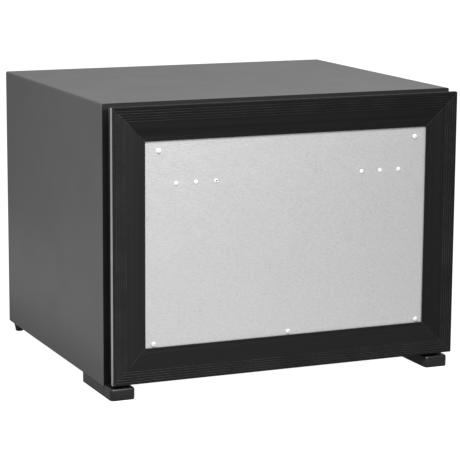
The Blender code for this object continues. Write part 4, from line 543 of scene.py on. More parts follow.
# One anodising in four tones as painted light and shade: the left stile lightest, the top rail darkest.
LIT_AND_SHADED_ANODISING = {"top": drawn_black("anodised_top_painted_shade", "X", 0.0040, 0.0058),
            "bottom": drawn_black("anodised_bottom_painted_light", "X", 0.0068, 0.0088),
            "left": drawn_black("anodised_left_painted_light", "Z", 0.0086, 0.0110),
            "right": drawn_black("anodised_right_painted_shade", "Z", 0.0050, 0.0068)}
for side, finish in LIT_AND_SHADED_ANODISING.items():
    rings = []
    for end, back in ((-1, 0.0), (-1, SAW_EDGE), (1, SAW_EDGE), (1, 0.0)):
        ring = []
        for inward, depth in profile_outline:
            reach = MITRE_GAP / 2 + inward + back
            if side in ("top", "bottom"):
                x = FRONT_LOW[0] + reach if end < 0 else FRONT_HIGH[0] - reach
                z = FRONT_HIGH[1] - inward if side == "top" else FRONT_LOW[1] + inward
            else:
                z = FRONT_LOW[1] + reach if end < 0 else FRONT_HIGH[1] - reach
                x = FRONT_LOW[0] + inward if side == "left" else FRONT_HIGH[0] - inward
            ring.append((x, FACE + depth, z))
        rings.append(ring)
    member = lofted(rings)
    member.faces.ensure_lookup_table()
    across = len(profile_outline)
    for number, face in enumerate(member.faces):
        run, point = divmod(number - 2, across)
        corner, step = divmod(point, ROUNDING + 1)
        if number < 2 or run != 1:
            face.material_index = SAWN
        elif point == across - 1 or point < ROUNDING:
            face.material_index = EDGE
        elif FIRST_RIB_CORNER <= corner <= LAST_RIB_CORNER and step < ROUNDING:
            if (corner - FIRST_RIB_CORNER) % 4 in (0, 3):
                face.material_index = CREST
    frame_member = finished("frame_%s_profile" % side, member, finish, 24.0)
    # The stiles take the painted highlight edge, the rails the painted shade edge.
    edge = painted_highlight_edge if side in ("left", "right") else painted_shade_edge
    for part_finish in (sawn_aluminium, edge, dim_highlight_crest if side == "top" else painted_highlight_crest):
        frame_member.data.materials.append(part_finish.material)
    fitted(frame_member, "drawer", "black_profile", "frame_" + side)


# Bare sheet: 0.7 mm galvanised steel with a fine pressed grain, slid into the frame's slot. It is left bare
# because a furniture panel goes over it.
bare_sheet = Finish("pressed_bare_zinc", 0.42, 0.88)
bare_sheet.coloured(clouds((0.0080, 0.0080, 0.0011), 3.0), (0.725, 0.725, 0.73), (0.775, 0.775, 0.78))
bare_sheet.flecked(cells((0.0050, 0.0050, 0.0022)), (0.62, 0.62, 0.625), 0.45, 0.95, 0.5)
bare_sheet.glossed(clouds(0.012, 4.0), 0.43, 0.45)
bare_sheet.raised(cells((0.0048, 0.0048, 0.0021), "SMOOTH_F1"), 0.00020)
bare_sheet.raised(clouds((0.02, 0.02, 0.0007)), 0.00002)
fitted(carried_over("front_sheet", "front_sheet_panel", bare_sheet), "drawer", "bare_sheet", "front_sheet")


# Sheet screws: five zinc-plated pan-head screws with a cross recess, cut from wire and thread-rolled. They
# hold the sheet to the frame's inner ledge, two above and three below.
def bright_plating(name, low, high, roughness):
    made = Finish(name, roughness, 0.45)
    made.coloured(clouds(0.004, 4.0), low, high)
    made.glossed(clouds(0.0015, 3.0), roughness * 0.75, roughness * 1.35)
    made.raised(clouds(0.0005), 0.000012)
    return made


screw_zinc = bright_plating("screw_zinc", (0.58, 0.58, 0.59), 0.68, 0.46)
HEAD = [(0.0001, 0.00200), (0.0013, 0.00196), (0.0023, 0.00178), (0.0030, 0.00146), (0.0035, 0.00098),
        (0.0038, 0.00040), (0.0038, 0.00006), (0.0036, 0.0)]
THREAD = [(0.0019, -0.0001)]
for turn in range(8):
    THREAD += [(0.0015, -0.0004 - turn * 0.0006), (0.0019, -0.0007 - turn * 0.0006)]
THREAD += [(0.0014, -0.0056), (0.0003, -0.0069)]
for number in range(1, 6):
    low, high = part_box("sheet_screw_%d" % number)
    seat = Vector(((low.x + high.x) / 2, low.y + 0.0020, (low.z + high.z) / 2))
    screw = finished("sheet_screw_%d_pan_head" % number,
                     lofted(turned(HEAD + THREAD, stood(seat, (0, -1, 0)), 36)), screw_zinc)
    for wide, tall in ((0.0019, 0.00042), (0.00042, 0.0019)):
        wings = [(wide * 0.55, tall * 0.55, -0.0008), (wide, tall, -0.0030)]
        cross = lofted([[(seat.x + sx * w, seat.y + y, seat.z + sz * t)
                         for sx, sz in ((1, 1), (-1, 1), (-1, -1), (1, -1))] for w, t, y in wings])
        cut_out(screw, cross, 30.0)
    fitted(screw, "drawer", "bright_zinc", "sheet_screw_%d" % number)


# Panel plates: a steel strip behind the sheet on each side, where the furniture panel's fittings bite. Three
# domed rivets at 32 mm clinch each to the sheet. One has lost its core, so its bore is open.
plate_steel = bright_plating("plate_steel", (0.66, 0.66, 0.67), 0.76, 0.44)
PLATE_FACE = -0.2466
PLATE_BACK = -0.2446
RIVETS_X = (0.1220, 0.1540, 0.1860)
RIVET_Z = 0.3226
RIVET_SEAT = -0.2479
RIVET_SHIFT = 0.0018
RIM = [(0.0026, 0.00078), (0.0031, 0.00036), (0.0032, 0.00005), (0.0030, 0.0)]
WHOLE_RIVET = ([(0.0001, 0.00120), (0.0010, 0.00118), (0.0019, 0.00106)] + RIM
               + [(0.0017, 0.0), (0.0017, -0.0023)])
OPEN_RIVET = RIM + [(0.0022, 0.0), (0.0022, -0.0023)]
OPEN_BORE = [(0.0014, -0.0023), (0.0014, 0.00080), (0.0015, 0.00090)]
BORE_OFF = (0.0006, 0.0005)
OPEN_X = -0.1220
for side, sign in (("left", -1), ("right", 1)):
    low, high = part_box("panel_plate_" + side)
    strip = bricked((low.x, PLATE_FACE, low.z), (high.x, PLATE_BACK, high.z), 0.0005)
    plate = finished("panel_plate_%s_strip" % side, strip, plate_steel)
    rivets = bmesh.new()
    for x in RIVETS_X:
        place = stood((RIVET_SHIFT + sign * x, RIVET_SEAT, RIVET_Z), (0, -1, 0))
        if sign * x == OPEN_X:
            off_centre = Matrix.Translation((BORE_OFF[0], 0.0, BORE_OFF[1])) @ place
            loft(rivets, turned(OPEN_BORE, off_centre, 32) + turned(OPEN_RIVET, place, 32), joined=True)
            cut_out(plate, lofted(rod(0.0014, -0.006, 0.004, off_centre, 24)))
        else:
            loft(rivets, turned(WHOLE_RIVET, place, 32))
    fitted(finished("panel_plate_%s_rivets" % side, rivets, plate_steel), "drawer", "bright_zinc")
    fitted(plate, "drawer", "bright_zinc", "panel_plate_" + side)


# Drawer front insulation: the same cream foam, poured into the frame between the bare sheet and the inner
# panel. It sticks to both as it sets, so that the drawer front becomes one stiff board.
fitted(eased(carried_over("front_foam", "front_insulation", cream_foam), 0.0004), "drawer", "foam",
       "front_foam")


# Inner panel of the drawer front: white plastic drawn over a mould, with a step that fits into the mouth of
# the cold space and a hollow full of foam behind it.
STEP_LOW = (-0.2500, 0.0525)
STEP_HIGH = (0.2500, 0.4055)
STEP_BACK = -0.2198
PANEL_LOW = (-0.2694, 0.0402)
PANEL_HIGH = (0.2694, 0.4226)
PANEL_FACE = -0.2305
hollow = above(STEP_BACK, [(0.0040, -0.0021), (0.0022, -0.0030)]) + [(0.0020, PANEL_FACE)]
edge = above(PANEL_FACE, [(0.0003, 0.0), (0.0, 0.0004), (0.0, 0.0016), (0.0003, 0.0020)])
step_face = (above(PANEL_FACE, [(-0.0012, 0.0020), (-0.0003, 0.0024), (0.0, 0.0034)])
             + above(STEP_BACK, [(0.0003, -0.0022), (0.0011, -0.0008), (0.0030, 0.0)]))
panel_rings = (levels(STEP_LOW, STEP_HIGH, 0.010, hollow, lying=True)
               + levels(PANEL_LOW, PANEL_HIGH, 0.006, edge, lying=True)
               + levels(STEP_LOW, STEP_HIGH, 0.010, step_face, lying=True))
shaped("front_inner_panel", "tray", lofted(panel_rings), white_plastic, "drawer", "white_plastic", 30.0)


# Gasket: a soft black PVC profile with a bellows and a magnet strip inside, welded at the four corners. It is
# pushed on the frame's rear ledge and closes on the case's front flange.
gasket_rubber = Finish("gasket_rubber", 0.60, shine=0.18)
gasket_rubber.coloured(clouds(0.05, 4.0), (0.0060, 0.0060, 0.0062), (0.0095, 0.0095, 0.0098))
gasket_rubber.glossed(clouds(0.01, 3.0), 0.48, 0.66)
gasket_rubber.raised(clouds(0.0008), 0.00003)
SEAL_SECTION = [(0.0004, 0.0, 0.0004), (0.0106, 0.0, 0.0004), (0.0110, 0.0022, 0.0008),
                (0.0094, 0.0034, 0.0006), (0.0094, 0.0044, 0.0006), (0.0110, 0.0058, 0.0008),
                (0.0108, 0.0084, 0.0009), (0.0002, 0.0084, 0.0009), (0.0, 0.0060, 0.0010),
                (0.0028, 0.0048, 0.0006), (0.0028, 0.0032, 0.0006), (0.0, 0.0020, 0.0010)]
SEAL_LOW = (-0.2814, 0.0282)
SEAL_HIGH = (0.2814, 0.4346)
SEAL_FRONT = -0.2282
seal = bmesh.new()
seal_rings = []
for across, up in ((1, 1), (-1, 1), (-1, -1), (1, -1)):
    ring = []
    for inward, depth in rounded(SEAL_SECTION):
        x = SEAL_HIGH[0] - inward if across > 0 else SEAL_LOW[0] + inward
        z = SEAL_HIGH[1] - inward if up > 0 else SEAL_LOW[1] + inward
        ring.append((x, SEAL_FRONT + depth, z))
    seal_rings.append(ring)
loft(seal, seal_rings, joined=True)
shaped("gasket", "bellows", seal, gasket_rubber, "drawer", "gasket_grey", 50.0)


# Telescopic runners: on each side three channels of zinc-plated steel slide in one another. The outer one is
# fixed to the cold space's wall. The inner one carries the bin and holds the drawer front by a tab.
RUNNER_FACE = 0.2537
RUNNER_LEVEL = 0.1085
RUNNER_SHEET = 0.0012
RUNNER_LENGTH = 0.280
CASE_FRONT = -0.2195


def channel(near, far, half, sheet, bend, web_far=False):
    """A folded channel's section, from distances off the wall and its half height."""
    mouth_side, web_side = (near, far) if web_far else (far, near)
    inside = web_side - sheet if web_far else web_side + sheet
    inner = half - sheet
    return rounded([(mouth_side, half, sheet / 3), (web_side, half, bend), (web_side, -half, bend),
                    (mouth_side, -half, sheet / 3), (mouth_side, -inner, sheet / 3),
                    (inside, -inner, bend - sheet), (inside, inner, bend - sheet),
                    (mouth_side, inner, sheet / 3)])


def run_along(section, sign, start, length):
    """Rings of a runner's section along the drawer's travel, on the left (-1) or the right (1)."""
    return [[(sign * (RUNNER_FACE - off), CASE_FRONT + y,
              RUNNER_LEVEL + up) for off, up in section] for y in (start, start + length)]


def slots(places, half_length, half_height, from_x, to_x):
    """Cutters for slots through a runner's web, at distances along it."""
    bm = bmesh.new()
    for along in places:
        middle = (CASE_FRONT + along, RUNNER_LEVEL)
        low = (middle[0] - half_length, middle[1] - half_height)
        high = (middle[0] + half_length, middle[1] + half_height)
        ring = round_cornered(low, high, min(half_length, half_height) - 0.0001, 5)
        loft(bm, [[(x, y, z) for y, z in ring] for x in (from_x, to_x)])
    return bm


runner_zinc = bright_plating("runner_zinc", (0.58, 0.59, 0.61), (0.74, 0.75, 0.76), 0.30)
RUNNERS = {
    "outer": (channel(0.0, 0.0098, 0.0225, RUNNER_SHEET, 0.0020), 0.004, (0.2530, 0.2545),
              [((0.030, 0.140, 0.262), 0.0045, 0.0024), ((0.052, 0.118, 0.162, 0.240), 0.0030, 0.0029)]),
    "middle": (channel(0.0034, 0.0106, 0.0180, RUNNER_SHEET, 0.0018), 0.004, (0.2485, 0.2508),
               [((0.016, 0.272), 0.0040, 0.0060), ((0.100, 0.190), 0.0140, 0.0040)]),
    "inner": (channel(0.0066, 0.0127, 0.0135, RUNNER_SHEET, 0.0017, web_far=True), 0.0, (0.2405, 0.2426),
              [((0.034, 0.120, 0.200, 0.262), 0.0040, 0.0022)])}
for side, sign in (("left", -1), ("right", 1)):
    for kind, (section, start, web, cuts) in RUNNERS.items():
        bm = lofted(run_along(section, sign, start, RUNNER_LENGTH))
        if kind == "inner":
            tab_low, tab_high = sorted((sign * 0.2150, sign * 0.2412))
            brick(bm, (tab_low, CASE_FRONT, RUNNER_LEVEL - 0.0135),
                  (tab_high, CASE_FRONT + 0.0015, RUNNER_LEVEL + 0.0135), 0.0004)
        runner = finished("runner_%s_%s_channel" % (kind, side), bm, runner_zinc)
        for places, half_length, half_height in cuts:
            cut_out(runner, slots(places, half_length, half_height, sign * web[0], sign * web[1]))
        body = {"outer": "cabinet", "middle": "middle_" + side, "inner": "drawer"}[kind]
        fitted(runner, body, "zinc", "runner_%s_%s" % (kind, side))


# Ball cages: thin plated channels between the sections. They hold the steel balls in two rows, and roll along
# at the mean speed of the two sections that they lie between.
BALL_RADIUS = 0.00135
BALL_OFF = 0.0072
BALLS = 8
CAGE_START = 0.076
CAGE_LENGTH = 0.134
cage_steel = bright_plating("cage_steel", (0.72, 0.73, 0.74), (0.86, 0.86, 0.87), 0.2)
for kind, near, ball_half in (("outer", 0.0018, 0.01965), ("inner", 0.0051, 0.01515)):
    section = channel(near, 0.0090, ball_half + 0.0004, 0.0008, 0.0013)
    for side, sign in (("left", -1), ("right", 1)):
        bm = lofted(run_along(section, sign, CAGE_START, CAGE_LENGTH))
        cage = finished("cage_%s_%s_strip" % (kind, side), bm, cage_steel)
        web = (sign * (RUNNER_FACE - near + 0.0004), sign * (RUNNER_FACE - near - 0.0012))
        cut_out(cage, slots((0.110, 0.143, 0.176), 0.0110, ball_half * 0.5, *web))
        bm = bmesh.new()
        bm.from_mesh(cage.data)
        for row in (-1, 1):
            for ball in range(BALLS):
                along = CASE_FRONT + CAGE_START + (ball + 0.5) * CAGE_LENGTH / BALLS
                spot = (sign * (RUNNER_FACE - BALL_OFF), along, RUNNER_LEVEL + row * ball_half)
                bmesh.ops.create_uvsphere(bm, u_segments=14, v_segments=8, radius=BALL_RADIUS,
                                          matrix=Matrix.Translation(spot))
        bm.to_mesh(cage.data)
        bm.free()
        cage.data.shade_smooth()
        cage.data.set_sharp_from_angle(angle=math.radians(38))
        fitted(cage, "%s_cage_%s" % (kind, side), "bright_zinc", "cage_%s_%s" % (kind, side))


# Drawer bin: a deep grey tub, injection moulded, with a turned-down lip, bearers along its floor and guide
# ribs for the dividers. It sits between the runners' inner sections and carries the bottles.
BIN_LOW = (-0.2407, -0.2091)
BIN_HIGH = (0.2407, 0.0485)
BIN_ROUND = 0.0165
BIN_WALL = 0.0025
BIN_FOOT = 0.0540
BIN_TOP = 0.2250
DIVIDER_X = 0.080
bin_grey = moulded("bin_grey", (0.30, 0.31, 0.32), (0.35, 0.36, 0.37), 0.0011, (0.36, 0.50))
outside = quarter_round(0.0, BIN_FOOT, 0.012)
lip = above(BIN_TOP, [(0.0, -0.0034), (-0.0003, -0.0027), (-0.0010, -0.0024), (-0.0029, -0.0024),
                      (-0.0034, -0.0030), (-0.0034, -0.0075), (-0.0038, -0.0080), (-0.0051, -0.0080),
                      (-0.0055, -0.0075), (-0.0055, -0.0020), (-0.0049, -0.0006), (-0.0035, 0.0),
                      (0.0010, 0.0), (0.0021, -0.0005), (BIN_WALL, -0.0016)])
inside = [(a + BIN_WALL, h + BIN_WALL) for a, h in reversed(quarter_round(0.0, BIN_FOOT, 0.0110))]
bm = lofted(levels(BIN_LOW, BIN_HIGH, BIN_ROUND, outside + lip + inside, steps=10))
floor_top = BIN_FOOT + BIN_WALL
bearer_ends = (BIN_LOW[1] + 0.022, BIN_HIGH[1] - 0.022)
for i in range(-10, 11):
    x = i * 0.020 + 0.010 * (1 if i >= 0 else -1)
    if abs(abs(x) - DIVIDER_X) > 0.006 and abs(x) < 0.222:
        brick(bm, (x - 0.0015, bearer_ends[0], floor_top - 0.0006),
              (x + 0.0015, bearer_ends[1], floor_top + 0.0009), 0.0005)
for x in (-DIVIDER_X, DIVIDER_X):
    for guide in (-0.0032, 0.0014):
        for wall, reach in ((BIN_LOW[1] + 0.0018, BIN_LOW[1] + 0.0065),
                            (BIN_HIGH[1] - 0.0065, BIN_HIGH[1] - 0.0018)):
            brick(bm, (x + guide, wall, BIN_FOOT + 0.016), (x + guide + 0.0018, reach, BIN_TOP - 0.024),
                  0.0005)
shaped("drawer_bin", "tub", bm, bin_grey, "drawer", "grey_plastic")


# Dividers: two clear sheets of moulded polystyrene between the bin's guide ribs, with round corners that
# follow the tub, and a low stretch along the top to take hold of.
def see_through(name, tint, roughness):
    made = Finish(name, roughness, Transmission_Weight=1.0, IOR=1.5)
    made.coloured(clouds(0.05, 3.0), tint, [min(1.0, part * 1.04) for part in tint])
    made.glossed(clouds(0.02, 3.0), roughness * 0.7, roughness * 1.6)
    made.raised(clouds(0.05, 1.0), 0.0002)
    return made


clear_styrene = see_through("clear_styrene", (0.90, 0.94, 0.95), 0.06)
DIVIDER_LOW = (-0.2063, 0.0568)
DIVIDER_HIGH = (0.0457, 0.2015)
for side, sign in (("left", -1), ("right", 1)):
    rings = []
    for inset, across in ((0.0003, -0.0010), (0.0, -0.0007), (0.0, 0.0007), (0.0003, 0.0010)):
        low = [a + inset for a in DIVIDER_LOW]
        high = [a - inset for a in DIVIDER_HIGH]
        outline = round_cornered(low, high, 0.014 - inset, 8)
        rings.append([(sign * DIVIDER_X + across, y, z) for y, z in outline])
    divider = finished("divider_%s_sheet" % side, lofted(rings), clear_styrene)
    middle = (DIVIDER_LOW[0] + DIVIDER_HIGH[0]) / 2
    ring = round_cornered((middle - 0.045, DIVIDER_HIGH[1] - 0.012),
                          (middle + 0.045, DIVIDER_HIGH[1] + 0.020), 0.008)
    dip = lofted([[(sign * DIVIDER_X + x, y, z) for y, z in ring] for x in (-0.004, 0.004)])
    cut_out(divider, dip)
    fitted(divider, "drawer", "clear_plastic", "divider_" + side)


# Bottle rail: one steel wire bent round the bin's top, with two shorter legs welded in at the back, polished
# and chromed. It keeps tall bottles upright.
def bent(corners, radius, steps=8):
    """A route through corners, with an arc of about the given radius at each."""
    points = [Vector(corners[0])]
    for back, here, on in zip(corners, corners[1:], corners[2:]):
        here = Vector(here)
        before = Vector(back) - here
        after = Vector(on) - here
        angle = before.angle(after)
        reach = min(radius / math.tan(angle / 2), 0.49 * before.length, 0.49 * after.length)
        start = here + before.normalized() * reach
        stop = here + after.normalized() * reach
        round_radius = reach * math.tan(angle / 2)
        inward = (before.normalized() + after.normalized()).normalized()
        middle = here + inward * (round_radius / math.sin(angle / 2))
        first = start - middle
        last = stop - middle
        sweep = first.angle(last)
        for i in range(steps + 1):
            t = i / steps
            arm = (first * math.sin((1 - t) * sweep) + last * math.sin(t * sweep)) / math.sin(sweep)
            points.append(middle + arm)
    points.append(Vector(corners[-1]))
    return points


def tube_rings(route, radius, sides=20):
    """Rings along a route, turned no more than the route turns."""
    rings = []
    ahead = (route[1] - route[0]).normalized()
    side = ahead.orthogonal().normalized()
    for i, point in enumerate(route):
        if i + 1 < len(route):
            onward = (route[i + 1] - point).normalized()
        else:
            onward = ahead
        heading = (ahead + onward).normalized()
        side = (side - heading * side.dot(heading)).normalized()
        up = heading.cross(side)
        widen = 1.0 / max(0.5, heading.dot(onward))
        ring = []
        for step in range(sides):
            angle = 2 * math.pi * step / sides
            across = side * radius * widen * math.cos(angle)
            ring.append(point + across + up * radius * widen * math.sin(angle))
        rings.append(ring)
        ahead = onward
    return rings


chrome = bright_plating("chrome", (0.78, 0.79, 0.80), 0.86, 0.07)
RAIL_X = 0.2422
RAIL_FOOT = 0.2253
RAIL_TOP = 0.2623
RAIL_FRONT = -0.1946
RAIL_BACK = 0.0500
wire = bent([(-RAIL_X, RAIL_FRONT, RAIL_FOOT), (-RAIL_X, RAIL_FRONT, RAIL_TOP),
             (-RAIL_X, RAIL_BACK, RAIL_TOP), (RAIL_X, RAIL_BACK, RAIL_TOP), (RAIL_X, RAIL_FRONT, RAIL_TOP),
             (RAIL_X, RAIL_FRONT, RAIL_FOOT)], 0.018)
bm = lofted(tube_rings(wire, 0.0025, 16))
for x in (-0.2062, 0.2062):
    leg = [(0.0021, 0.0), (0.00225, 0.0003), (0.00225, RAIL_TOP - RAIL_FOOT - 0.0030),
           (0.0030, RAIL_TOP - RAIL_FOOT - 0.0020), (0.0030, RAIL_TOP - RAIL_FOOT - 0.0010)]
    loft(bm, turned(leg, stood((x, RAIL_BACK, RAIL_FOOT)), 16))
shaped("bottle_rail", "wire", bm, chrome, "drawer", "chrome", 50.0)


# Evaporator: an aluminium comb of upright fins that hangs on the back wall of the cold space. The unit's two
# tube ends are cast into its back.
FIN_PITCH = 0.011433
FIN_HALF = 0.0008
COMB_FRONT = 0.0462
COMB_WEB = 0.0742
COMB_BACK = 0.0802
COMB_HALF = 0.138
COMB_LEVELS = (0.303, 0.397)
FINS_ACROSS = 24
GAS_END = (0.110, 0.340)
CONDENSER_END = (-0.110, 0.350)
cast_aluminium = Finish("cast_aluminium", 0.38, 0.95)
cast_aluminium.coloured(clouds(0.03, 5.0), (0.60, 0.61, 0.62), (0.72, 0.73, 0.74))
cast_aluminium.flecked(clouds(0.0012), (0.46, 0.47, 0.48), 0.6, 0.75, 0.5)
cast_aluminium.glossed(clouds((0.02, 0.02, 0.0008), 3.0), 0.30, 0.46)
cast_aluminium.raised(clouds((0.02, 0.02, 0.0006)), 0.00002)
cast_aluminium.raised(clouds(0.0011), 0.00003)
comb = [(COMB_HALF, COMB_BACK, 0.001), (COMB_HALF, COMB_WEB, 0.001)]
for i in reversed(range(FINS_ACROSS)):
    x = (i - (FINS_ACROSS - 1) / 2) * FIN_PITCH
    comb += [(x + FIN_HALF * 1.3, COMB_WEB, 0.0012), (x + FIN_HALF * 0.9, COMB_FRONT, 0.0007),
             (x - FIN_HALF * 0.9, COMB_FRONT, 0.0007), (x - FIN_HALF * 1.3, COMB_WEB, 0.0012)]
comb += [(-COMB_HALF, COMB_WEB, 0.001), (-COMB_HALF, COMB_BACK, 0.001)]
comb_outline = rounded(comb, 3)
bm = lofted([[(x, y, z) for x, y in comb_outline] for z in COMB_LEVELS])
for x, z in (CONDENSER_END, GAS_END):
    loft(bm, turned([(0.0105, -0.0010), (0.0105, 0.0030), (0.0090, 0.0048), (0.0090, 0.0513)],
                    stood((x, 0.0775, z), (0, 1, 0)), 28))
shaped("evaporator", "comb", bm, cast_aluminium, "cabinet", "aluminium")


# Evaporator plug: a block of the same foam, which closes the opening in the rear wall round the two tubes. A
# white plastic sheet covers it on the cold side.
evaporator_plug = eased(carried_over("evaporator_plug", "evaporator_plug_block", cream_foam), 0.0003)
evaporator_plug.data.materials.append(white_plastic.material)
for face in evaporator_plug.data.polygons:
    if face.normal.y < -0.9:
        face.material_index = 1
fitted(evaporator_plug, "cabinet", "foam", "evaporator_plug")


# Drip tray: a white moulded trough clipped below the evaporator. Melted frost runs from it through a grey
# tube in the rear wall, which turns down over the dish.
TRAY_LOW = (-0.1475, 0.0352)
TRAY_HIGH = (0.1475, 0.0802)
tray_white = moulded("tray_white", (0.74, 0.75, 0.75), (0.80, 0.81, 0.81), 0.0010, (0.34, 0.46))


def trough(low, high, radius, foot, top, wall, corner):
    """(inset, height) rings of a small tub with rounded edges."""
    outside = quarter_round(0.0, foot, corner)
    rim = [(0.0, top - 0.0006), (0.0003, top), (wall - 0.0003, top), (wall, top - 0.0006)]
    inside = [(a + wall, h + wall) for a, h in reversed(quarter_round(0.0, foot, corner))]
    return levels(low, high, radius, outside + rim + inside)


bm = lofted(trough(TRAY_LOW, TRAY_HIGH, 0.0045, 0.2750, 0.2910, 0.0015, 0.003))
drip_tray = finished("drip_tray_trough", bm, tray_white)
cut_out(drip_tray, lofted(rod(0.0045, -0.006, 0.006, stood((DRAIN[0], 0.0795, DRAIN[1]), (0, 1, 0)))))
fitted(drip_tray, "cabinet", "white_plastic", "drip_tray")

drain_route = bent([(0.0, 0.0760, DRAIN[1]), (0.0, 0.1505, DRAIN[1]), (0.0, 0.1505, 0.1023)], 0.014)
grey_hose = moulded("grey_hose", (0.20, 0.205, 0.21), (0.25, 0.255, 0.26), 0.0012, (0.40, 0.52))
hose = lofted(tube_rings(drain_route, 0.0042) + list(reversed(tube_rings(drain_route, 0.0030))), joined=True)
shaped("drain_tube", "hose", hose, grey_hose, "cabinet", "grey_plastic")


# Evaporation dish: a small black tub, injection moulded, that sits on the absorber vessel below the drain
# tube. The vessel's warmth dries off the melt water that runs into it.
dish_plastic = moulded("dish_plastic", (0.020, 0.020, 0.021), (0.030, 0.030, 0.031))
VESSEL_TOP = 0.0943
dish = lofted(trough((-0.0765, 0.1426), (0.0765, 0.2156), 0.0065, VESSEL_TOP, 0.1093, 0.0015, 0.004))
shaped("evaporation_dish", "tub", dish, dish_plastic, "cabinet", "black_plastic")


# Absorber vessel: a drum of rolled steel with a domed end welded in at each side, painted with the rest of
# the cooling unit. It lies low in the bay and holds the unit's charge.
BAY_Y = 0.1875
unit_paint = Finish("unit_paint_satin", 0.42, shine=0.45)
unit_paint.coloured(clouds(0.04, 5.0), (0.030, 0.031, 0.033), (0.046, 0.047, 0.050))
unit_paint.flecked(clouds(0.009, 4.0), (0.075, 0.070, 0.066), 0.62, 0.78, 0.5)
unit_paint.glossed(clouds(0.02, 5.0), 0.34, 0.55)
unit_paint.raised(clouds(0.0025, 3.0), 0.00008)
VESSEL = [(0.0020, 0.0), (0.0144, 0.0008), (0.0240, 0.0032), (0.0295, 0.0070), (0.0314, 0.0092),
          (0.0320, 0.0100), (0.0326, 0.0108), (0.0326, 0.0122), (0.0320, 0.0132)]
VESSEL_LEFT = -0.210
VESSEL_LENGTH = 0.340
VESSEL_LEVEL = 0.062
far_end = [(radius, VESSEL_LENGTH - along) for radius, along in reversed(VESSEL)]
drum = lofted(turned(VESSEL + far_end, stood((VESSEL_LEFT, BAY_Y, VESSEL_LEVEL), (1, 0, 0)), 48))
shaped("absorber_vessel", "drum", drum, unit_paint, "cabinet", "unit_paint")


# Absorber coil: one steel tube that climbs from the vessel in sloping passes, so that the liquid runs back
# down through the rising gas. Its last end is welded into the gas heat exchanger.
COIL_Y = 0.2285
COIL_LEFT = -0.170
COIL_RIGHT = 0.150
COIL_TUBE = 0.010
GAS_X, GAS_LEVEL = GAS_END
COIL_FOOT = 0.1283
COIL_PITCH = 0.038
COIL_PASSES = 5


def weld(bm, point, axis, radius, width=0.0016):
    """The bead of a weld round a tube."""
    bead = [(radius * 0.9, -width), (radius + 0.0006, -width * 0.6), (radius + 0.0010, 0.0),
            (radius + 0.0006, width * 0.6), (radius * 0.9, width)]
    loft(bm, turned(bead, stood(point, axis), 28))


route = [(COIL_LEFT, BAY_Y, VESSEL_TOP), (COIL_LEFT, BAY_Y, COIL_FOOT), (COIL_LEFT, COIL_Y, COIL_FOOT)]
for turn in range(COIL_PASSES):
    level = COIL_FOOT + turn * COIL_PITCH
    last = turn == COIL_PASSES - 1
    reach = GAS_X if last else (COIL_RIGHT if turn % 2 == 0 else COIL_LEFT)
    route.append((reach, COIL_Y, level + 0.006))
    if not last:
        route.append((reach, COIL_Y, level + COIL_PITCH))
route.append((GAS_X, 0.2003, route[-1][2]))
bm = lofted(tube_rings(bent(route, 0.0158), COIL_TUBE, 24))
weld(bm, (COIL_LEFT, BAY_Y, 0.0962), (0, 0, 1), COIL_TUBE)
weld(bm, (GAS_X, 0.2022, route[-1][2]), (0, 1, 0), COIL_TUBE)
shaped("absorber_coil", "tube", bm, unit_paint, "cabinet", "unit_paint", 60.0)


# Gas heat exchanger: a wide tube with another inside it, from the evaporator down to the vessel. The liquid
# heat exchanger runs low along the bay, from the vessel's end up into the boiler.
GAS_TUBE = 0.0125
TUBE_FRONT = 0.1291
route = [(GAS_X, TUBE_FRONT, GAS_LEVEL), (GAS_X, BAY_Y, GAS_LEVEL), (GAS_X, BAY_Y, VESSEL_TOP)]
bm = lofted(tube_rings(bent(route, 0.030, 12), GAS_TUBE, 28))
weld(bm, (GAS_X, 0.1315, GAS_LEVEL), (0, 1, 0), GAS_TUBE)
weld(bm, (GAS_X, BAY_Y, 0.0965), (0, 0, 1), GAS_TUBE)
shaped("gas_exchanger", "tube", bm, unit_paint, "cabinet", "unit_paint", 60.0)

BOILER_X = 0.218
LIQUID_TUBE = 0.007
route = [(0.1303, BAY_Y, VESSEL_LEVEL), (0.160, BAY_Y, VESSEL_LEVEL), (0.160, BAY_Y, 0.035),
         (BOILER_X, BAY_Y, 0.035), (BOILER_X, BAY_Y, 0.0557)]
bm = lofted(tube_rings(bent(route, 0.012), LIQUID_TUBE, 20))
weld(bm, (0.1322, BAY_Y, VESSEL_LEVEL), (1, 0, 0), LIQUID_TUBE)
weld(bm, (BOILER_X, BAY_Y, 0.0540), (0, 0, 1), LIQUID_TUBE)
shaped("liquid_exchanger", "tube", bm, unit_paint, "cabinet", "unit_paint", 60.0)


# Boiler: the upright tube where the charge is boiled, with the rectifier's collar near its top, and the
# electric heater cartridge beside it in a steel sleeve with a crimped end.
BOILER = [(0.0105, 0.0560), (0.0116, 0.0563), (0.0120, 0.0575), (0.0120, 0.3165), (0.0128, 0.3178),
          (0.0150, 0.3192), (0.0152, 0.3225), (0.0150, 0.3258), (0.0128, 0.3272), (0.0120, 0.3285),
          (0.0120, 0.3306), (0.0114, 0.3317), (0.0104, 0.3320)]
upright = lofted(turned(BOILER, stood((BOILER_X, BAY_Y, 0.0)), 36))
shaped("boiler_tube", "upright", upright, unit_paint, "cabinet", "unit_paint")

HEATER_X = 0.1992
sleeve_steel = bright_plating("sleeve_steel", (0.46, 0.46, 0.47), 0.62, 0.34)
HEATER = [(0.0050, 0.0915), (0.0062, 0.0918), (0.0065, 0.0930), (0.0065, 0.3085), (0.0058, 0.3095),
          (0.0058, 0.3110), (0.0065, 0.3120), (0.0065, 0.3153), (0.0060, 0.3162), (0.0048, 0.3165)]
sleeve = lofted(turned(HEATER, stood((HEATER_X, BAY_Y, 0.0)), 28))
shaped("heater_cartridge", "sleeve", sleeve, sleeve_steel, "cabinet", "zinc")


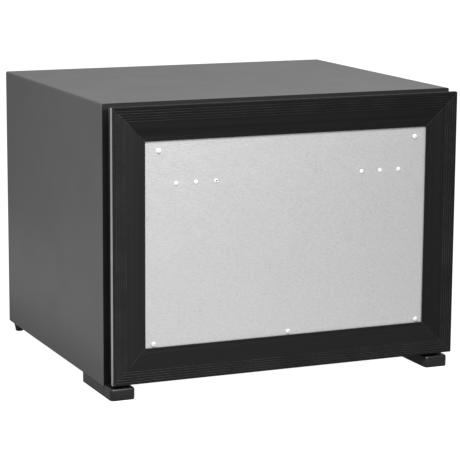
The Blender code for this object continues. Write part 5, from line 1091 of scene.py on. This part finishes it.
# Boiler casing: a rolled zinc-coated jacket with a lock seam and seamed ends, packed with mineral wool, so
# that the boiler's heat goes into the charge.
CASING_FOOT = 0.0780
CASING_TOP = 0.3150
HOLE = 0.0123


def jacket(profile, name, finish):
    """A round layer about the boiler tube, with the bore for the heater cut from its top."""
    layer = finished(name, lofted(turned(profile, stood((BOILER_X, BAY_Y, 0.0)), 56), joined=True), finish)
    return cut_out(layer, lofted(rod(0.0068, 0.0912, 0.3300, stood((HEATER_X, BAY_Y, 0.0)), 28)))


casing_zinc = galvanised("casing_zinc", 0.005)
sheet = 0.0008
seam = [(HOLE, 0.0), (0.0390, 0.0), (0.0402, 0.0005), (0.0420, 0.0005), (0.0424, -0.0002),
        (0.0424, -0.0036), (0.0419, -0.0042)]
outside = above(CASING_TOP, seam) + above(CASING_FOOT, [(radius, -rise) for radius, rise in reversed(seam)])
inside = (above(CASING_FOOT, [(HOLE, sheet), (0.0411, sheet)])
          + above(CASING_TOP, [(0.0411, -sheet), (HOLE, -sheet)]))
casing = jacket(outside + inside, "boiler_casing_jacket", casing_zinc)
bm = bmesh.new()
bm.from_mesh(casing.data)
brick(bm, (BOILER_X - 0.0040, BAY_Y + 0.0412, CASING_FOOT + 0.0045),
      (BOILER_X + 0.0040, BAY_Y + 0.0426, CASING_TOP - 0.0045), 0.0004)
bm.to_mesh(casing.data)
bm.free()
fitted(casing, "cabinet", "zinc", "boiler_casing")

wool = Finish("mineral_wool_loose", 0.95, shine=0.15)
wool.coloured(clouds((0.0012, 0.0012, 0.010), 4.0), (0.30, 0.25, 0.15), (0.52, 0.45, 0.30))
wool.flecked(clouds((0.010, 0.0008, 0.0008), 3.0), (0.62, 0.56, 0.42), 0.55, 0.70, 0.7)
wool.glossed(clouds(0.004, 3.0), 0.88, 1.0)
wool.raised(clouds((0.0010, 0.0010, 0.008), 3.0), 0.0006)
fitted(jacket([(HOLE, 0.3139), (0.0400, 0.3139), (0.0409, 0.3130), (0.0409, 0.0800), (0.0400, 0.0791),
               (HOLE, 0.0791)], "boiler_wool_sleeve", wool), "cabinet", "mineral_wool", "boiler_wool")


# Condenser: the tube that leaves the boiler at the top and crosses the bay with a slight fall. It is pressed
# through 26 sheet fins with collars, turns down, and comes back to the evaporator.
CONDENSER_LEVEL = 0.4045
CONDENSER_FALL = 0.010
CONDENSER_LEFT = -0.215
CONDENSER_TUBE = 0.009
FINS = 26
FIRST_FIN = -0.155
FIN_SPACING = 0.012
FIN_REACH = (0.028, 0.029)
route = [(BOILER_X, BAY_Y, 0.3323), (BOILER_X, BAY_Y, CONDENSER_LEVEL),
         (CONDENSER_LEFT, BAY_Y, CONDENSER_LEVEL - CONDENSER_FALL), (CONDENSER_LEFT, BAY_Y, CONDENSER_END[1]),
         (CONDENSER_END[0], BAY_Y, CONDENSER_END[1]), (CONDENSER_END[0], TUBE_FRONT, CONDENSER_END[1])]
bm = lofted(tube_rings(bent(route, 0.022, 10), CONDENSER_TUBE, 24))
weld(bm, (BOILER_X, BAY_Y, 0.3340), (0, 0, 1), CONDENSER_TUBE)
weld(bm, (CONDENSER_END[0], 0.1310, CONDENSER_END[1]), (0, 1, 0), CONDENSER_TUBE)
for i in range(FINS):
    x = FIRST_FIN + FIN_SPACING * i
    z = CONDENSER_LEVEL - CONDENSER_FALL * (BOILER_X - x) / (BOILER_X - CONDENSER_LEFT)
    low = (BAY_Y - FIN_REACH[0], z - FIN_REACH[1])
    high = (BAY_Y + FIN_REACH[0], z + FIN_REACH[1])
    outline = round_cornered(low, high, 0.004, 4)
    loft(bm, [[(x + across, y, up) for y, up in outline] for across in (-0.0004, 0.0004)])
    loft(bm, turned([(0.0089, -0.0022), (0.0099, -0.0020), (0.0101, -0.0002), (0.0089, 0.0)],
                    stood((x, BAY_Y, z), (1, 0, 0)), 24))
shaped("condenser", "finned_tube", bm, unit_paint, "cabinet", "unit_paint", 50.0)


# Unit brackets: a hat-shaped strap that carries the coil, and a cradle below for the vessel, both folded from
# galvanised sheet. Each is screwed to the rear plate through round holes in its flanges.
BAY_FRONT = 0.1268
BRACKET_SHEET = 0.0015
FLANGE_MIDDLE = 0.1275
SCREW_HOLE = 0.0024
STRAP_LOW = 0.1123
STRAP_HIGH = 0.2623
strap = [(BAY_FRONT, STRAP_LOW - 0.014, 0.0003), (0.1283, STRAP_LOW - 0.014, 0.0003),
         (0.1283, STRAP_LOW, 0.0012), (0.2182, STRAP_LOW, 0.0030), (0.2182, STRAP_HIGH, 0.0030),
         (0.1283, STRAP_HIGH, 0.0012), (0.1283, STRAP_HIGH + 0.014, 0.0003),
         (BAY_FRONT, STRAP_HIGH + 0.014, 0.0003), (BAY_FRONT, STRAP_HIGH - BRACKET_SHEET, 0.0028),
         (0.2167, STRAP_HIGH - BRACKET_SHEET, 0.0015), (0.2167, STRAP_LOW + BRACKET_SHEET, 0.0015),
         (BAY_FRONT, STRAP_LOW + BRACKET_SHEET, 0.0028)]
bracket_zinc = galvanised("bracket_zinc", 0.006)
bm = lofted([[(x, y, z) for y, z in rounded(strap)] for x in (-0.060, -0.030)])
unit_bracket_upper = finished("unit_bracket_upper_strap", bm, bracket_zinc)
bm = bmesh.new()
for z in (STRAP_LOW - 0.007, STRAP_HIGH + 0.007):
    loft(bm, rod(SCREW_HOLE, -0.004, 0.004, stood((-0.045, FLANGE_MIDDLE, z), (0, 1, 0)), 24))
cut_out(unit_bracket_upper, bm)
fitted(unit_bracket_upper, "cabinet", "zinc", "unit_bracket_upper")

cradle = carried_over("unit_bracket_lower", "unit_bracket_lower_cradle", bracket_zinc)
bm = bmesh.new()
for x in (-0.090, -0.050, -0.010):
    loft(bm, rod(SCREW_HOLE, -0.004, 0.004, stood((x, FLANGE_MIDDLE, 0.070), (0, 1, 0)), 24))
cut_out(cradle, bm)
fitted(eased(cradle, 0.0002), "cabinet", "zinc", "unit_bracket_lower")


# Control box: a black moulded box beside the unit for the thermostat's and the heater's connections, with
# louvres in its side. Its lid carries the mains inlet with its three pins.
BOX_LOW = (-0.2887, 0.1050)
BOX_HIGH = (-0.2267, 0.2550)
BOX_FRONT = BAY_FRONT
BOX_BACK = 0.2308
box_plastic = moulded("box_plastic", (0.018, 0.018, 0.019), (0.028, 0.028, 0.029), 0.0010, (0.44, 0.58))
walls = (above(BOX_FRONT, [(0.0010, 0.0), (0.0003, 0.0003), (0.0, 0.0010)])
         + above(BOX_BACK, [(0.0, -0.0004), (0.0004, 0.0), (0.0016, 0.0), (0.0020, -0.0004)])
         + above(BOX_FRONT, [(0.0020, 0.0028), (0.0028, 0.0020)]))
control_box = finished("control_box_tub", lofted(levels(BOX_LOW, BOX_HIGH, 0.004, walls, lying=True)),
                       box_plastic)
bm = bmesh.new()
for louvre in range(7):
    z = 0.190 + louvre * 0.007
    brick(bm, (BOX_HIGH[0] - 0.004, 0.150, z), (BOX_HIGH[0] + 0.002, 0.205, z + 0.003), 0.001)
cut_out(control_box, bm)
fitted(control_box, "cabinet", "black_plastic", "control_box")

INLET = (-0.2577, 0.1390)
LID_BACK = 0.2331
lid_face = (above(BOX_BACK, [(0.0006, 0.0003), (0.0, 0.0008)])
            + above(LID_BACK, [(0.0, -0.0007), (0.0007, 0.0), (0.0040, 0.0), (0.0046, -0.0005),
                               (0.0060, -0.0005)]))
control_lid = finished("control_lid_plate", lofted(levels(BOX_LOW, BOX_HIGH, 0.004, lid_face, lying=True)),
                       box_plastic, 30.0)
bm = bmesh.new()
brick(bm, (INLET[0] - 0.0143, 0.225, INLET[1] - 0.0103), (INLET[0] + 0.0143, 0.240, INLET[1] + 0.0103))
for louvre in range(6):
    z = 0.196 + louvre * 0.007
    brick(bm, (INLET[0] - 0.018, 0.225, z), (INLET[0] + 0.018, 0.240, z + 0.0028), 0.001)
cut_out(control_lid, bm)
fitted(control_lid, "cabinet", "black_plastic", "control_lid")

inlet_black = moulded("inlet_black", 0.012, 0.018, 0.0014, (0.30, 0.42))
INLET_LOW = (INLET[0] - 0.014, INLET[1] - 0.010)
INLET_HIGH = (INLET[0] + 0.014, INLET[1] + 0.010)
shell = [(0.0, 0.2091), (0.0, LID_BACK + 0.0003), (-0.0040, LID_BACK + 0.0003), (-0.0040, 0.2352),
         (-0.0034, 0.2359), (0.0012, 0.2359), (0.0018, 0.2353), (0.0018, 0.2171)]
inlet = lofted(levels(INLET_LOW, INLET_HIGH, 0.002, shell, lying=True))
shaped("power_inlet", "shell", inlet, inlet_black, "cabinet", "black_plastic", 30.0)
pin_nickel = bright_plating("pin_nickel", (0.66, 0.64, 0.58), (0.78, 0.76, 0.70), 0.22)
bm = bmesh.new()
for step, rise in ((-1, -0.0015), (0, 0.0030), (1, -0.0015)):
    x = INLET[0] + step * 0.007
    z = INLET[1] + rise
    brick(bm, (x - 0.001, 0.2160, z - 0.002), (x + 0.001, 0.2301, z + 0.002), 0.0004)
fitted(finished("power_inlet_pins", bm, pin_nickel), "cabinet", "bright_zinc")


# Control pod: a white moulded housing under the cold space's ceiling, for the lamp and the thermostat, with
# air slots in its front.
POD_LOW = (0.123, -0.1975)
POD_HIGH = (0.233, -0.1475)
POD_FOOT = 0.3772
POD_TOP = 0.4088
KNOB = (0.202, 0.3932)
pod_white = moulded("pod_white", (0.76, 0.77, 0.77), (0.82, 0.83, 0.83), 0.0009, (0.34, 0.46))
rim = above(POD_TOP, [(0.0, -0.0004), (0.0004, 0.0), (0.0016, 0.0), (0.0020, -0.0004)])
shell = quarter_round(0.0, POD_FOOT, 0.003) + rim + [(0.0020, POD_FOOT + 0.0042)]
control_pod = finished("control_pod_housing", lofted(levels(POD_LOW, POD_HIGH, 0.003, shell)), pod_white)
bm = bmesh.new()
WINDOW_LOW = (0.1317, -0.1878)
WINDOW_HIGH = (0.1763, -0.1572)
brick(bm, (*WINDOW_LOW, POD_FOOT - 0.002), (*WINDOW_HIGH, POD_FOOT + 0.010))
loft(bm, rod(0.0033, -0.004, 0.006, stood((KNOB[0], POD_LOW[1], KNOB[1]), (0, 1, 0)), 24))
for slot in range(6):
    x = 0.133 + slot * 0.007
    brick(bm, (x, POD_LOW[1] - 0.003, 0.387), (x + 0.0028, POD_LOW[1] + 0.004, 0.401), 0.001)
cut_out(control_pod, bm)
fitted(control_pod, "cabinet", "white_plastic", "control_pod")


# Lamp lens: a plate of clear acrylic, injection moulded with prisms across its lower face, which spread the
# lamp's light. It sits in the window in the pod's underside.
acrylic = see_through("acrylic", (0.95, 0.96, 0.96), 0.10)
LENS_LOW = (0.132, -0.1875)
LENS_HIGH = (0.176, -0.1575)
LENS_FOOT = 0.3772
LENS_TOP = 0.3822
PRISMS = 11
prism = (LENS_HIGH[0] - LENS_LOW[0]) / PRISMS
lens_edge = [(LENS_HIGH[0], LENS_TOP, 0.0006), (LENS_LOW[0], LENS_TOP, 0.0006)]
for i in range(PRISMS):
    lens_edge += [(LENS_LOW[0] + i * prism, LENS_FOOT + 0.0010, 0.0002),
                  (LENS_LOW[0] + (i + 0.5) * prism, LENS_FOOT, 0.0004)]
lens_edge.append((LENS_HIGH[0], LENS_FOOT + 0.0010, 0.0002))
lens = lofted([[(x, y, z) for x, z in rounded(lens_edge, 2)] for y in (LENS_LOW[1], LENS_HIGH[1])])
shaped("lamp_lens", "prisms", lens, acrylic, "cabinet", "clear_plastic", 20.0)


# Thermostat knob: black, moulded with a smooth skirt and a fluted grip, pushed on the thermostat's shaft. A
# white line is painted in its pointer groove.
knob_black = moulded("knob_black", (0.016, 0.016, 0.017), (0.024, 0.024, 0.025), 0.0008, (0.30, 0.44))
KNOB_SEAT = -0.1978
FLUTES = 24
KNOB_PROFILE = [(0.0030, -0.0060, 0.0), (0.0030, -0.0001, 0.0), (0.0131, 0.0, 0.0), (0.0135, 0.0004, 0.0),
                (0.0134, 0.0022, 0.0), (0.0128, 0.0028, 0.0), (0.0124, 0.0032, 1.0), (0.0119, 0.0105, 1.0),
                (0.0115, 0.0115, 0.6), (0.0108, 0.0120, 0.0), (0.0090, 0.0120, 0.0), (0.0080, 0.0116, 0.0)]
place = stood((KNOB[0], KNOB_SEAT, KNOB[1]), (0, -1, 0))
rings = []
for radius, height, fluting in KNOB_PROFILE:
    ring = []
    for step in range(FLUTES * 6):
        angle = 2 * math.pi * step / (FLUTES * 6)
        out = radius - fluting * 0.0004 * (1.0 - math.cos(FLUTES * angle))
        ring.append(place @ Vector((out * math.cos(angle), out * math.sin(angle), height)))
    rings.append(ring)
thermostat_knob = finished("thermostat_knob_grip", lofted(rings), knob_black)
knob_face = KNOB_SEAT - 0.0120
cut_out(thermostat_knob, bricked((KNOB[0] - 0.0006, knob_face - 0.002, KNOB[1] + 0.0035),
                                 (KNOB[0] + 0.0006, knob_face + 0.0007, KNOB[1] + 0.0148)))
fitted(thermostat_knob, "knob", "black_plastic", "thermostat_knob")
line_paint = moulded("line_paint", (0.78, 0.78, 0.76), (0.84, 0.84, 0.82), 0.0006, (0.40, 0.55))
pointer = bricked((KNOB[0] - 0.00055, knob_face + 0.0003, KNOB[1] + 0.0037),
                  (KNOB[0] + 0.00055, knob_face + 0.0008, KNOB[1] + 0.0104), 0.00015)
fitted(finished("thermostat_knob_pointer", pointer, line_paint), "knob", "white_plastic")


# Studio: a plain pale floor in an even white surround, a key light high on the left in front, two weak lights
# low on the left behind, which the case's side reflects, and the camera where the photograph was taken from.
floor_mesh = bmesh.new()
bmesh.ops.create_grid(floor_mesh, x_segments=1, y_segments=1, size=30.0)
pale_floor = Finish("pale_floor", 0.9, shine=0.1)
pale_floor.coloured(clouds(0.8, 3.0), 0.14, 0.16)
pale_floor.shader.inputs["Emission Color"].default_value = (1.0, 1.0, 1.0, 1.0)
seen = pale_floor.node("ShaderNodeLightPath", {}).outputs["Is Camera Ray"]
NEAR_GLOW = 0.16
FAR_GLOW = 0.22
depth_glow = pale_floor.ranged(coordinate("Y")(pale_floor), NEAR_GLOW, FAR_GLOW, -0.6, 0.1)
glow = pale_floor.node("ShaderNodeMath", {0: depth_glow, 1: seen}, operation="MAXIMUM")
pale_floor.tree.links.new(glow.outputs["Value"], pale_floor.shader.inputs["Emission Strength"])
floor = finished("studio_floor", floor_mesh, pale_floor)

world = bpy.data.worlds.new("studio_surround")
bpy.context.scene.world = world
world.use_nodes = True
surround = world.node_tree
backdrop = surround.nodes["Background"]
backdrop.inputs["Color"].default_value = (1.0, 1.0, 1.0, 1.0)
direction = wired(surround, "ShaderNodeTexCoord", {}).outputs["Generated"]
parts = wired(surround, "ShaderNodeSeparateXYZ", {"Vector": direction})
FRONT_GLOW = 0.26
BACK_GLOW = 0.68
fade = wired(surround, "ShaderNodeMapRange", {"Value": parts.outputs["Y"], "From Min": -0.95, "From Max": 0.6,
                                              "To Min": FRONT_GLOW, "To Max": BACK_GLOW})
seen = wired(surround, "ShaderNodeLightPath", {}).outputs["Is Camera Ray"]
white = wired(surround, "ShaderNodeMath", {0: fade.outputs["Result"], 1: seen}, operation="MAXIMUM")
surround.links.new(white.outputs["Value"], backdrop.inputs["Strength"])


def soft_light(name, place, aim, size, power):
    """A rectangular soft box at a place, turned to what it lights."""
    lamp = bpy.data.lights.new(name, "AREA")
    lamp.shape = "RECTANGLE"
    lamp.size, lamp.size_y = size
    lamp.energy = power
    made = bpy.data.objects.new(name, lamp)
    made.location = place
    made.rotation_euler = (Vector(aim) - Vector(place)).to_track_quat("-Z", "Y").to_euler()
    made.visible_camera = False
    bpy.context.scene.collection.objects.link(made)
    return made


soft_light("key_box", (-0.44, -1.20, 1.52), (0.0, -0.25, 0.30), (0.8, 0.8), 83.0)
soft_light("side_box", (-0.95, 1.00, 0.26), (-0.29, -0.15, 0.25), (0.5, 0.5), 0.5)
soft_light("floor_panel", (-0.72, 0.44, 0.004), (-0.72, 0.44, 1.0), (0.7, 1.3), 1.0)

VIEW_AZIMUTH = math.radians(23.51)
VIEW_FALL = math.radians(10.61)
VIEW_ROLL = math.radians(0.34)
camera = bpy.data.cameras.new("photo_camera")
camera.lens = 157.8
camera.sensor_width = 36.0
viewpoint = bpy.data.objects.new("photo_camera", camera)
viewpoint.location = (-1.2867, -2.9826, 0.8049)
sight = Vector((math.sin(VIEW_AZIMUTH) * math.cos(VIEW_FALL), math.cos(VIEW_AZIMUTH) * math.cos(VIEW_FALL),
                -math.sin(VIEW_FALL)))
level_view = sight.to_track_quat("-Z", "Y").to_matrix()
viewpoint.rotation_euler = (level_view @ Matrix.Rotation(VIEW_ROLL, 3, "Z")).to_euler()
bpy.context.scene.collection.objects.link(viewpoint)
bpy.context.scene.camera = viewpoint
bpy.context.scene.view_settings.view_transform = "Standard"
